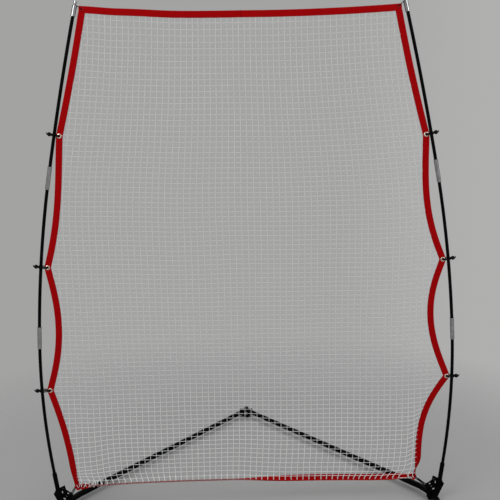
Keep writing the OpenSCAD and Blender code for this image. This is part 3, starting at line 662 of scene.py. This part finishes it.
def net_point(x, level):
    """Point of the netting where the line at x meets the row of this level."""
    inner = bottom_middle(x) - bottom_out(x) * (WEB_HALF - 0.004)
    top = top_z(x) - TUCK
    z = inner.z + level * (top - inner.z)
    z += row_pull(x, z)
    drift = noise.noise(Vector((x * 3.0, z * 2.4, 1.3)))
    small = noise.noise(Vector((x * 55, z * 55, 5.0)))
    z += 0.0045 * drift * smooth(0, 0.08, level) * smooth(0, 0.08, 1 - level) + 0.0007 * small
    slack = smooth(0.14, 0.0, level)
    forward = -0.010 * slack * smooth(-0.10, 0.2, x) * smooth(0.0, 0.02, level)
    y = POLE_Y + sway(x, z) + (inner.y - POLE_Y) * smooth(0.035, 0.0, level) + forward
    shift = 0.004 * noise.noise(Vector((x * 2.6, z * 3.1, 7.7)))
    shift += 0.0008 * noise.noise(Vector((x * 60, z * 60, 2.0)))
    free = smooth(0, 0.03, side_x(side_of(x), z) - abs(x))
    return Vector((x + (shift + column_lean(x, level, slack)) * free, y, z))


def edge_x(sign, z):
    """How far from the net's middle its netting ends at height z."""
    return side_x(sign, min(max(z, LOW_Z), CORNERS[sign][1])) - TUCK


def base_z(x, level):
    """Height of a row at x, before the netting's own slack."""
    return LOW_Z + level * (top_z(x) - LOW_Z)


def column_x(number, level):
    """Place of a column, counted from the net's middle, at the height of a row."""
    share = smooth(1.15, 1.95, base_z(0, level))
    return number * (PITCH_LOW + (PITCH_TOP - PITCH_LOW) * share)


def net_knot(builder, at, size):
    """A knot: a small ellipsoid with the half sizes given for X, Y and Z."""
    first = len(builder.points)
    builder.points.append(at + Vector((0, 0, size[2])))
    for tilt in (KNOT_TILT, -KNOT_TILT):
        for k in range(KNOT_SIDES):
            turn = math.tau * k / KNOT_SIDES
            builder.points.append(at + Vector((
                size[0] * math.cos(tilt) * math.cos(turn),
                size[1] * math.cos(tilt) * math.sin(turn),
                size[2] * math.sin(tilt),
            )))
    builder.points.append(at - Vector((0, 0, size[2])))
    high, low = first + 1, first + 1 + KNOT_SIDES
    for k in range(KNOT_SIDES):
        m = (k + 1) % KNOT_SIDES
        builder.face((first, high + k, high + m), (FLAT,) * 3)
        builder.face((high + k, low + k, low + m, high + m), (FLAT,) * 4)
        builder.face((low + k, low + KNOT_SIDES, low + m), (FLAT,) * 3)


def net_half(sign):
    """The netting on one side of the middle: columns, rows and their joins."""
    builder = Builder()
    columns = [sign * (k + 0.5) for k in range(COLUMNS)]
    inside = {}
    for column in columns:
        run = []
        for row, level in enumerate(LEVELS):
            x = column_x(column, level)
            z = base_z(x, level)
            limit = edge_x(sign, z)
            if abs(x) <= limit:
                if not run and row:
                    run.append(cut_point(column, LEVELS[row - 1], level))
                point = net_point(x, level)
                inside[(column, row)] = point
                run.append(point)
            elif run:
                run.append(cut_point(column, LEVELS[row], LEVELS[row - 1]))
                draw_line(builder, run, (1, 0, 0))
                run = []
        if run:
            draw_line(builder, run, (1, 0, 0))
    for row, level in enumerate(LEVELS):
        run = [net_point(0.0, level)]
        for column in columns:
            if (column, row) in inside:
                run.append(inside[(column, row)])
        z = base_z(run[-1].x, level)
        end = sign * edge_x(sign, z)
        if abs(end - run[-1].x) > 0.001:
            run.append(net_point(end, level))
        draw_line(builder, run, (0, 0, 1))
    for (column, row), point in inside.items():
        wide = KNOT_R + KNOT_VARIES * noise.noise(Vector((column * 3.1, row * 1.7, 0.5)))
        net_knot(builder, point, (wide * 0.86, KNOT_DEPTH, wide * 0.8))
    return builder


def cut_point(column, outside, within):
    """Where a column's line passes into the side border, found by halving."""
    for _ in range(12):
        middle = (outside + within) / 2
        x = column_x(column, middle)
        if abs(x) <= edge_x(side_of(column), base_z(x, middle)):
            within = middle
        else:
            outside = middle
    return net_point(column_x(column, within), within)


def draw_line(builder, run, across):
    """A cord of the netting through the points of a run."""
    if len(run) > 1:
        tube(builder, run, CORD_R, LINE_SIDES, across=across)


def ride_net(piece):
    """Bakes the placement of a piece of the net into its mesh."""
    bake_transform(piece)


# --- Border webbing ---

# Halves of the folded webbing's outer and inner outlines in section, in millimetres:
# across its width, from the open edge to the fold, and across its thickness
OUTSIDE = [
    (-12.5, -1.9), (-11.6, -2.1), (-8.5, -1.85), (-3, -2.3), (3, -2.4), (8.0, -2.2),
    (10.8, -2.2), (12.1, -1.4),
]
INSIDE = [(-12.4, 0.9), (-8.5, 0.95), (3, 1.2), (9.6, 1.0)]
SECTION = mirrored(OUTSIDE, (12.5, 0.0)) + mirrored(INSIDE, (10.9, 0.0))
MILLI = 0.001
STITCH_PITCH = 0.0042
STITCH_LENGTH = 0.0029
STITCH_R = 0.00036
STITCH_SIDES = 4
STITCH_ROWS = ((-8.5, 1.85), (8.0, 2.2))
STITCH_PROUD = 0.12
THREAD_SLOT = 1


def stitch(builder, middle, ahead, across, out):
    """One stitch: a short rod of thread that dips into the webbing at its ends."""
    first = len(builder.points)
    half = STITCH_LENGTH / 2
    for along, size in ((-half, 0.0), (-half * 0.55, 1.0), (half * 0.55, 1.0), (half, 0.0)):
        if size == 0.0:
            builder.points.append(middle + ahead * along - out * STITCH_R * 0.6)
            continue
        for k in range(STITCH_SIDES):
            turn = math.tau * k / STITCH_SIDES
            builder.points.append(
                middle + ahead * along
                + STITCH_R * (across * math.cos(turn) + out * math.sin(turn))
            )
    near, far = first + 1, first + 1 + STITCH_SIDES
    end = far + STITCH_SIDES
    for k in range(STITCH_SIDES):
        m = (k + 1) % STITCH_SIDES
        builder.face((first, near + m, near + k), (FLAT,) * 3, THREAD_SLOT)
        builder.face((near + k, near + m, far + m, far + k), (FLAT,) * 4, THREAD_SLOT)
        builder.face((far + k, far + m, end), (FLAT,) * 3, THREAD_SLOT)


def webbing(builder, path, outs, squeeze=None):
    """Folded webbing along a path. outs point from the open edge to the fold.

    squeeze gives how narrow the webbing is bunched at a share of the path.
    """
    rings = []
    frames = []
    lengths = path_lengths(path)
    for i, point in enumerate(path):
        ahead = path_ahead(path, i)
        out = square_to(ahead, outs[i])
        flat = ahead.cross(out)
        frames.append((ahead, out, flat))
        wobble = noise.noise(Vector((lengths[i] * 38, point.x * 3, point.z * 3)))
        pucker = 1 + 0.08 * math.sin(math.tau * lengths[i] / (2 * STITCH_PITCH)) + 0.10 * wobble
        narrow = squeeze(i / (len(path) - 1)) if squeeze else 1.0
        ring = []
        for a, b in SECTION:
            edge = 0.35 * wobble if a < -8 else 0.0
            ring.append(point + MILLI * ((a * narrow + edge) * out + b * pucker * flat))
        rings.append(ring)
    rounds = [MILLI * r for r in section_rounds(SECTION)]
    builder.strip(rings, lengths, rounds)
    total = lengths[-1]
    at, i = STITCH_PITCH, 0
    while at < total - STITCH_PITCH:
        while i < len(lengths) - 2 and lengths[i + 1] < at:
            i += 1
        share = (at - lengths[i]) / (lengths[i + 1] - lengths[i])
        point = path[i].lerp(path[i + 1], share)
        ahead, out, flat = frames[i]
        out = out.lerp(frames[i + 1][1], share).normalized()
        flat = flat.lerp(frames[i + 1][2], share).normalized()
        narrow = squeeze(at / total) if squeeze else 1.0
        for a, b in STITCH_ROWS:
            for side in (-1, 1):
                proud = side * (b + STITCH_PROUD)
                middle = point + MILLI * (a * narrow * out + proud * flat)
                stitch(builder, middle, ahead, out, side * flat)
        at += STITCH_PITCH


def side_roll(sign, z):
    """How far a side border has turned over near its lower corner."""
    if sign > 0:
        return math.radians(86) * smooth(0.197, 0.110, z)
    return math.radians(40) * smooth(0.19, 0.10, z)


def side_squeeze(sign, z):
    """How narrow a side border is bunched near its lower corner."""
    return 1 - (0.30 if sign > 0 else 0.28) * smooth(0.20, 0.11, z)


def side_tuck(sign, z):
    """Shift of a border's middle that keeps the inner edge in line while it turns."""
    return WEB_HALF * (1 - math.cos(side_roll(sign, z)) * side_squeeze(sign, z))


def side_path(sign, steps=240):
    """Middle line of a side border, from the lower corner up."""
    low = bottom_middle(sign * LOW_X[sign]).z - 0.006
    high = CORNERS[sign][1] - WEB_HALF + 0.0015
    path = []
    for i in range(steps + 1):
        z = low + (high - low) * i / steps
        x = side_x(sign, max(z, LOW_Z)) - side_tuck(sign, z)
        path.append(Vector((sign * x, POLE_Y, z)))
    return path


def side_webbing(sign):
    builder = Builder()
    path = side_path(sign)
    outs = []
    for i, point in enumerate(path):
        ahead = path_ahead(path, i)
        ripple = noise.noise(Vector((sign * 2.0, point.z * 6, 0.3)))
        roll = side_roll(sign, point.z) + math.radians(7) * ripple
        out = square_to(ahead, Vector((sign, 0, 0)))
        outs.append(Matrix.Rotation(roll, 3, ahead) @ out)

    def squeeze(share):
        return side_squeeze(sign, path[0].z + share * (path[-1].z - path[0].z))

    webbing(builder, path, outs, squeeze)
    return builder


def top_webbing(sign, steps=90):
    end = CORNER_HIGH[0] + WEB_HALF
    path = []
    outs = []
    for i in range(steps + 1):
        x = end * i / steps
        path.append(Vector((sign * x, POLE_Y, top_z(sign * x))))
        roll = math.radians(5) * noise.noise(Vector((x * 5, sign * 3.0, 2.2)))
        outs.append(Vector((0, math.sin(roll), math.cos(roll))))
    builder = Builder()
    webbing(builder, path, outs)
    return builder


def bottom_webbing(sign, steps=120):
    end = LOW_X[sign] - 0.004
    builder = Builder()
    xs = [sign * end * i / steps for i in range(steps + 1)]
    bunch = 0.42 if sign > 0 else 0.25

    def squeeze(share):
        return 1 - bunch * smooth(0.86, 1.0, share)

    webbing(builder, [bottom_middle(x) for x in xs], [bottom_out(x) for x in xs], squeeze)
    return builder


# --- Eyelets, cords and straps ---

GROMMET = (0.0047, 0.0095, 0.0025)  # hole, flange and half the webbing's thickness
CORNER_EYELET = (0.0036, 0.0074, 0.0026)
EYELET_THREADS = 34
EYELET_THREAD_R = 0.00042


def lathe(builder, centre, axis, profile, sides=28):
    """Turns a closed profile of (radius, height) pairs round an axis."""
    axis = Vector(axis).normalized()
    first = axis.orthogonal().normalized()
    second = axis.cross(first)
    rings = []
    for k in range(sides):
        turn = math.tau * k / sides
        out = math.cos(turn) * first + math.sin(turn) * second
        rings.append([centre + r * out + h * axis for r, h in profile])
    radius = max(r for r, _ in profile)
    lengths = [radius * math.tau * k / sides for k in range(sides)]
    builder.strip(rings, lengths, section_rounds(profile), True)


def eyelet_profile(hole, outer, half):
    """Two rolled flanges and the barrel between them."""
    flange = [
        (hole, half + 0.0006), (hole + 0.0004, half + 0.0011), (hole + 0.0011, half + 0.0013),
        (outer - 0.0016, half + 0.0010), (outer - 0.0004, half + 0.0006), (outer, half),
        (hole + 0.0010, half - 0.0002),
    ]
    return [(r, -h) for r, h in flange] + flange[::-1]


def eyelets(sign):
    builder = Builder()
    for number in range(CLIP_COUNT):
        x, z = grommet_place(sign, number)
        lathe(builder, Vector((sign * x, POLE_Y, z)), (0, 1, 0), eyelet_profile(*GROMMET))
    return builder


def eyelet_place(sign):
    """Upper corner's eyelet, a little above the webbing's middle where that hangs slack."""
    return CORNER_HIGH[0], CORNER_HIGH[1] - 0.6 * CORNER_SLACK[sign]


def corner_eyelet(sign):
    """Eyelet bound with thread: stitches side by side round the hole."""
    builder = Builder()
    x, z = eyelet_place(sign)
    centre = Vector((sign * x, POLE_Y, z))
    hole, outer, half = CORNER_EYELET
    rise, bend = 0.0005, 0.0008
    face = [(outer, -half), (outer - bend, -half - rise), (hole + bend, -half - rise)]
    wrap = mirrored([*face, (hole, -half)], (hole - 0.0002, 0.0))
    for k in range(EYELET_THREADS):
        turn = math.tau * (k + 0.3 * random.random()) / EYELET_THREADS
        out = Vector((math.cos(turn), 0, math.sin(turn)))
        longer = 1 + 0.07 * random.random()
        path = []
        for r, h in wrap:
            reach = r * longer if r > hole + 0.001 else r
            path.append(centre + out * reach + Vector((0, h, 0)))
        tube(builder, path, EYELET_THREAD_R, 5)
    return builder


def race_track(near_r, far_r, reach, steps=18, straight=8):
    """Closed loop in the plane: round a post at the origin and out to -reach on X."""
    lean = math.asin((near_r - far_r) / reach)
    side = math.pi / 2 + lean
    arcs = []
    for x, radius, start, sweep in (
        (0.0, near_r, -side, math.pi + 2 * lean),
        (-reach, far_r, side, math.pi - 2 * lean),
    ):
        turns = [start + sweep * k / steps for k in range(steps + 1)]
        arcs.append([(x + radius * math.cos(t), radius * math.sin(t)) for t in turns])
    points = []
    for arc, following in (arcs, arcs[::-1]):
        points += arc
        (a0, b0), (a1, b1) = arc[-1], following[0]
        for k in range(1, straight):
            share = k / straight
            points.append((a0 + (a1 - a0) * share, b0 + (b1 - b0) * share))
    return points


ROD_R = 0.00635
BALL = 0.016
CLIP_CORD_R = 0.0020
CLIP_FAR_R = 0.0060  # bend of the clip's loop inside the grommet
KNOT_CORD_R = 0.0013
NECK_R = 0.0035
TOP_LOOP_R = 0.0012
TOP_LOOP_FAR_R = 0.0030


def clip_cord(sign, number):
    """Elastic loop through an eyelet and round the pole, with its ball's knot."""
    builder = Builder()
    x, z, lean = pole_place(CLIPS[sign][number])
    turn = Matrix.Rotation(lean, 3, "Y")
    centre = Vector((x, POLE_Y, z))
    mirror = Vector((sign, 1, 1))
    near = ROD_R + 0.0001 + CLIP_CORD_R
    reach = INSETS[sign][number] - CLIP_FAR_R
    for strand in (-1, 1):
        path = []
        for a, b in race_track(near, CLIP_FAR_R, reach):
            apart = 0.0021 + 0.0009 * smooth(-reach, 0.0, a)
            lift = strand * apart + 0.0006 * math.sin(b / near * math.pi / 2)
            point = centre + turn @ Vector((a, b, lift))
            path.append(point * mirror)
        tube(builder, path, CLIP_CORD_R, 10, closed=True)
    start = near - 0.001
    knot_at = centre + turn @ Vector((start + BALL + CLIP_CORD_R, 0.0, 0.0))
    for strand in (-1, 1):
        tail = []
        for t in (0, 0.2, 0.4, 0.7, 1.0):
            spread = strand * 0.0024 * (1 - smooth(0.1, 0.4, t))
            tail.append((centre + turn @ Vector((start, 0.0, spread))).lerp(knot_at, t) * mirror)
        tube(builder, tail, CLIP_CORD_R, 10)
    knot = [
        (0.0, 0.0, 0.0), (0.0012, 0.0020, 0.0014), (0.0032, 0.0006, 0.0012),
        (0.0026, -0.0020, -0.0006), (0.0004, -0.0014, -0.0022), (0.0004, 0.0012, -0.0016),
        (0.0026, 0.0018, 0.0016), (0.0052, 0.0002, 0.0052),
    ]
    tube(builder, [(knot_at + turn @ Vector(p)) * mirror for p in knot], KNOT_CORD_R, 8)
    return builder


def top_loop(sign):
    """Elastic loop through the corner eyelet and round the pole cap's neck."""
    builder = Builder()
    x, z = eyelet_place(sign)
    reach = math.dist((x, z), (neck_x, neck_z)) - 0.0008
    loop = race_track(NECK_R + TOP_LOOP_R + 0.0002, TOP_LOOP_FAR_R, reach)
    turn = Matrix.Rotation(-math.atan2(neck_z - z, neck_x - x), 3, "Y")
    centre = Vector((neck_x, POLE_Y, neck_z))
    mirror = Vector((sign, 1, 1))
    path = [(centre + turn @ Vector((a, b, 0))) * mirror for a, b in loop]
    tube(builder, path, TOP_LOOP_R, 8, closed=True)
    return builder


STRAP_BOLT = (FOOT_X - 0.038, 0.060)
STRAP_EYE = 0.0048  # bend of the strap round the bolt
STRAP_START = {LEFT: 0.004, RIGHT: 0.011}  # from the net's corner, inwards
STRAP_THICKER = 1.3
STRAP_SECTION = [
    (-4.0, -0.9), (-3.4, -1.25), (0, -1.35), (3.4, -1.25), (4.0, -0.9),
    (4.0, 0.9), (3.4, 1.25), (0, 1.35), (-3.4, 1.25), (-4.0, 0.9),
]


def ribbon(builder, path, across, section):
    """Flat strap along a path, with its width kept as near to across as it can be."""
    rings = []
    for i, point in enumerate(path):
        ahead = path_ahead(path, i)
        wide = square_to(ahead, Vector(across))
        thick = ahead.cross(wide)
        rings.append([point + MILLI * (a * wide + b * thick) for a, b in section])
    builder.strip(rings, path_lengths(path), [MILLI * r for r in section_rounds(section)])


def corner_strap(sign):
    """Strap that loops round the bracket's bolt and ends sewn to the net's corner."""
    builder = Builder()
    bolt = Vector((STRAP_BOLT[0], 0, STRAP_BOLT[1]))
    corner = Vector((LOW_X[sign] - STRAP_START[sign], 0, LOW_Z - 0.004))
    ahead = (bolt - corner).normalized()
    up = Vector((-ahead.z, 0, ahead.x))

    def strand(side, shares):
        return [corner.lerp(bolt, t) + side * up * (0.0020 + 0.001 * t) for t in shares]

    path = strand(1, (0.0, 0.12, 0.25, 0.4, 0.55, 0.7))
    for k in range(13):
        turn = math.radians(118 - 236 * k / 12)
        path.append(bolt + STRAP_EYE * (ahead * math.cos(turn) + up * math.sin(turn)))
    path += strand(-1, (0.7, 0.55, 0.4, 0.25, 0.1))
    path = [Vector((p.x * sign, POLE_Y, p.z)) for p in path]
    thick = [(a, b * STRAP_THICKER) for a, b in STRAP_SECTION]
    ribbon(builder, path, (0, 1, 0), thick)
    return builder


LACING_LEVEL = 0.0135  # level of the netting, from 0 to 1, that the lacing reaches
LACING_STEPS = 6


def hem_lacing(sign):
    """Cords that lash each column of the netting to the lower border."""
    builder = Builder()
    for column in range(COLUMNS):
        x = sign * column_x(column + 0.5, 0.0)
        if abs(x) > LOW_X[sign] - 0.012:
            break
        for side in (-1, 1):
            path = [bottom_middle(x) - bottom_out(x) * WEB_HALF + Vector((0, 0.0015, 0.001))]
            for i in range(LACING_STEPS + 1):
                point = net_point(x, LACING_LEVEL * i / LACING_STEPS)
                aside = 0.0011 * side * (1 - 0.5 * i / LACING_STEPS)
                path.append(point + Vector((aside, -0.0012, 0)))
            draw_line(builder, path, (1, 0, 0))
    return builder


def corner_fold(sign, steps=72):
    """Spare webbing bunched in folds where the lower border meets the side."""
    if sign < 0:
        out_by, reach, drop, folds = 0.002, 0.066, 0.013, 3.3
    else:
        out_by, reach, drop, folds = -0.006, 0.026, 0.004, 1.5
    path, outs = [], []
    for i in range(steps + 1):
        t = i / steps
        wave = math.sin(math.tau * folds * t)
        x = LOW_X[sign] + out_by - reach * t
        y = POLE_Y - 0.0085 + 0.0035 * math.sin(math.tau * folds * t + 1.2)
        z = LOW_Z - drop * (1 - t) + 0.003 * wave
        path.append(Vector((sign * x, y, z)))
        roll = 0.75 * wave
        outs.append(Vector((0, math.sin(roll), -math.cos(roll))))

    def squeeze(share):
        return 0.34 + 0.26 * smooth(0.0, 0.3, share) * smooth(1.0, 0.7, share)

    builder = Builder()
    webbing(builder, path, outs, squeeze)
    return builder


def corner_gather(sign):
    """Loose cords of the netting, bunched over the webbing at a lower corner."""
    builder = Builder()
    x, z = LOW_X[sign], LOW_Z
    count, first, spacing = (22, 0.010, 0.0056) if sign < 0 else (6, 0.004, 0.0065)
    for k in range(count):
        along = first + spacing * (k + 0.5 * random.random())
        outer = smooth(9, 14, k)
        y = POLE_Y - 0.0125 + 0.006 * outer
        low = Vector((sign * (x - along), y, z - 0.010 + 0.004 * random.random()))
        slant = -sign * (0.004 + 0.010 * random.random()) * (1 if k % 3 else -0.6)
        nearer = -0.001 - 0.002 * random.random()
        rise = 0.013 + 0.009 * random.random() + 0.012 * outer
        high = low + Vector((slant, nearer, rise))
        bow = Vector((0.003 * (random.random() - 0.5), -0.0015, 0))
        path = [low.lerp(high, i / 8) + bow * (4 * i / 8 * (1 - i / 8)) for i in range(9)]
        draw_line(builder, path, (0, 1, 0))
    return builder


# --- Pieces ---


def build_soft_pieces():
    """The netting, webbing, eyelets, cords and straps of both sides."""
    for sign, side in ((-1, "left"), (1, "right")):
        leg, pole = f"{side}_leg", f"{side}_pole"

        netting = net_half(sign).object(f"netting_{side}", [MATERIAL["netting"]])
        ride_net(netting)
        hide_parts("net_mesh")

        for name, node, made in (
            (f"side_webbing_{side}", f"net_{side}_border", side_webbing(sign)),
            (f"top_webbing_{side}", "net_top_border", top_webbing(sign)),
            (f"bottom_webbing_{side}", "net_bottom_border", bottom_webbing(sign)),
        ):
            piece = made.object(name, [MATERIAL["webbing"], MATERIAL["thread"]])
            ride_net(piece)
            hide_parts(node)

        piece = eyelets(sign).object(f"eyelets_{side}", [MATERIAL["nickel"]])
        ride_net(piece)
        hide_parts("net_grommets")

        piece = corner_eyelet(sign).object(f"corner_eyelet_{side}", [MATERIAL["thread"]])
        ride_net(piece)
        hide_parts("net_corner_eyelets")

        for number in range(CLIP_COUNT):
            piece = clip_cord(sign, number).object(
                f"clip_cord_{side}_{number}", [MATERIAL["elastic"]]
            )
            x, z = grommet_place(sign, number)
            px, pz, _ = pole_place(CLIPS[sign][number])
            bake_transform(piece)
            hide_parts(f"{side}_clip_cords")

        piece = top_loop(sign).object(f"top_loop_{side}", [MATERIAL["elastic"]])
        x, z = eyelet_place(sign)
        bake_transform(piece)
        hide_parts(f"{side}_top_loop")

        piece = corner_strap(sign).object(f"corner_strap_{side}", [MATERIAL["black_webbing"]])
        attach(piece, leg)
        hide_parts(f"{side}_corner_strap")

        for name, made in (
            ("corner_gather", corner_gather(sign)), ("hem_lacing", hem_lacing(sign)),
        ):
            piece = made.object(f"{name}_{side}", [MATERIAL["netting"]])
            ride_net(piece)

        made = corner_fold(sign)
        piece = made.object(f"corner_fold_{side}", [MATERIAL["webbing"], MATERIAL["thread"]])
        ride_net(piece)


def paint_solids():
    """Gives each solid of the frame the material of its slot."""
    slots = {p["node"]: p["material_slot"] for p in frame["record"]["subparts"]}
    for node, piece in frame["nodes"].items():
        piece.data.materials.clear()
        piece.data.materials.append(MATERIAL[slots[node]])


# --- Studio ---

BACKDROP = (0.366, 0.366, 0.362)
# Painted light: the backdrop turns lighter towards the right.
BACKDROP_PAINTED_LIGHT_RIGHT = (0.43, 0.43, 0.427)
FLOOR = (0.318, 0.319, 0.318)
FLOOR_RADIUS = 9.0
FLOOR_SIDES = 96
SKY_STRENGTH = 0.62
LIGHT_TARGET = Vector((0, 0, 0.9))


def build_floor():
    """Round floor with a painted shadow under the net, that fades into the backdrop."""
    s = Shader("floor")
    cloud = s.noise(s.place(), 1.1, 4)
    reach = s.tree.nodes.new("ShaderNodeVectorMath")
    reach.operation = "LENGTH"
    s.link(s.coordinates.outputs["Object"], reach.inputs[0])
    share = s.math("DIVIDE", reach.outputs["Value"], FLOOR_RADIUS)
    tone = s.mix(cloud, tuple(c * 0.96 for c in FLOOR), FLOOR)
    # Painted shadow: within about 0.77 m of the middle the floor is darkened, back to full by 1.1
    # m.
    colour = s.mix(1.0, tone, s.ramp(share, [(0.085, 0.925), (0.125, 1.0)]), "MULTIPLY")
    material = s.finish(colour, 0.75, None, [("Specular IOR Level", 0.25)])
    fade = s.ramp(share, [(0.13, 0.0), (0.225, 1.0)])
    clear = s.tree.nodes.new("ShaderNodeBsdfTransparent")
    blend = s.mix_shaders(fade, s.surface.outputs["BSDF"], clear.outputs["BSDF"])
    s.link(blend, s.tree.nodes["Material Output"].inputs["Surface"])
    mesh = bpy.data.meshes.new("floor")
    turns = [math.tau * k / FLOOR_SIDES for k in range(FLOOR_SIDES)]
    ring = [(FLOOR_RADIUS * math.cos(t), FLOOR_RADIUS * math.sin(t), 0.0) for t in turns]
    mesh.from_pydata(ring, [], [tuple(range(FLOOR_SIDES))])
    mesh.materials.append(material)
    floor = bpy.data.objects.new("floor", mesh)
    bpy.context.scene.collection.objects.link(floor)


def area_light(name, at, size, power):
    data = bpy.data.lights.new(name, "AREA")
    data.shape = "RECTANGLE"
    data.size, data.size_y = size
    data.energy = power
    lamp = bpy.data.objects.new(name, data)
    lamp.location = at
    lamp.rotation_euler = (LIGHT_TARGET - Vector(at)).to_track_quat("-Z", "Y").to_euler()
    bpy.context.scene.collection.objects.link(lamp)
    lamp.visible_camera = False


def build_light():
    """A white sky that the camera sees as a grey backdrop with painted light towards the right,
    and three lamps.
    """
    world = bpy.data.worlds.new("studio")
    bpy.context.scene.world = world
    sky = Tree(world)
    nodes = sky.tree.nodes
    light = nodes["Background"]
    light.inputs["Color"].default_value = (1.0, 1.0, 1.0, 1)
    light.inputs["Strength"].default_value = SKY_STRENGTH
    seen = nodes.new("ShaderNodeBackground")
    split = nodes.new("ShaderNodeSeparateXYZ")
    sky.link(nodes.new("ShaderNodeTexCoord").outputs["Generated"], split.inputs["Vector"])
    shade = nodes.new("ShaderNodeMapRange")
    shade.inputs["From Min"].default_value, shade.inputs["From Max"].default_value = 0.12, 0.32
    shade.interpolation_type = "SMOOTHSTEP"
    sky.link(split.outputs["X"], shade.inputs["Value"])
    tint = sky.mix(shade.outputs["Result"], BACKDROP, BACKDROP_PAINTED_LIGHT_RIGHT)
    sky.link(tint, seen.inputs["Color"])
    path = nodes.new("ShaderNodeLightPath")
    sees = path.outputs["Is Camera Ray"]
    for ray in ("Is Glossy Ray", "Is Transmission Ray"):
        sees = sky.math("MAXIMUM", sees, path.outputs[ray])
    blend = sky.mix_shaders(sees, light.outputs["Background"], seen.outputs["Background"])
    sky.link(blend, nodes["World Output"].inputs["Surface"])
    area_light("key", (-2.6, -3.4, 3.6), (2.4, 2.0), 95)
    area_light("fill", (3.2, -2.2, 2.8), (2.0, 2.0), 45)
    area_light("back", (0.5, 3.6, 3.2), (2.6, 1.6), 45)


build_soft_pieces()
paint_solids()
build_floor()
build_light()

scene = bpy.context.scene
scene.view_settings.view_transform = "Standard"
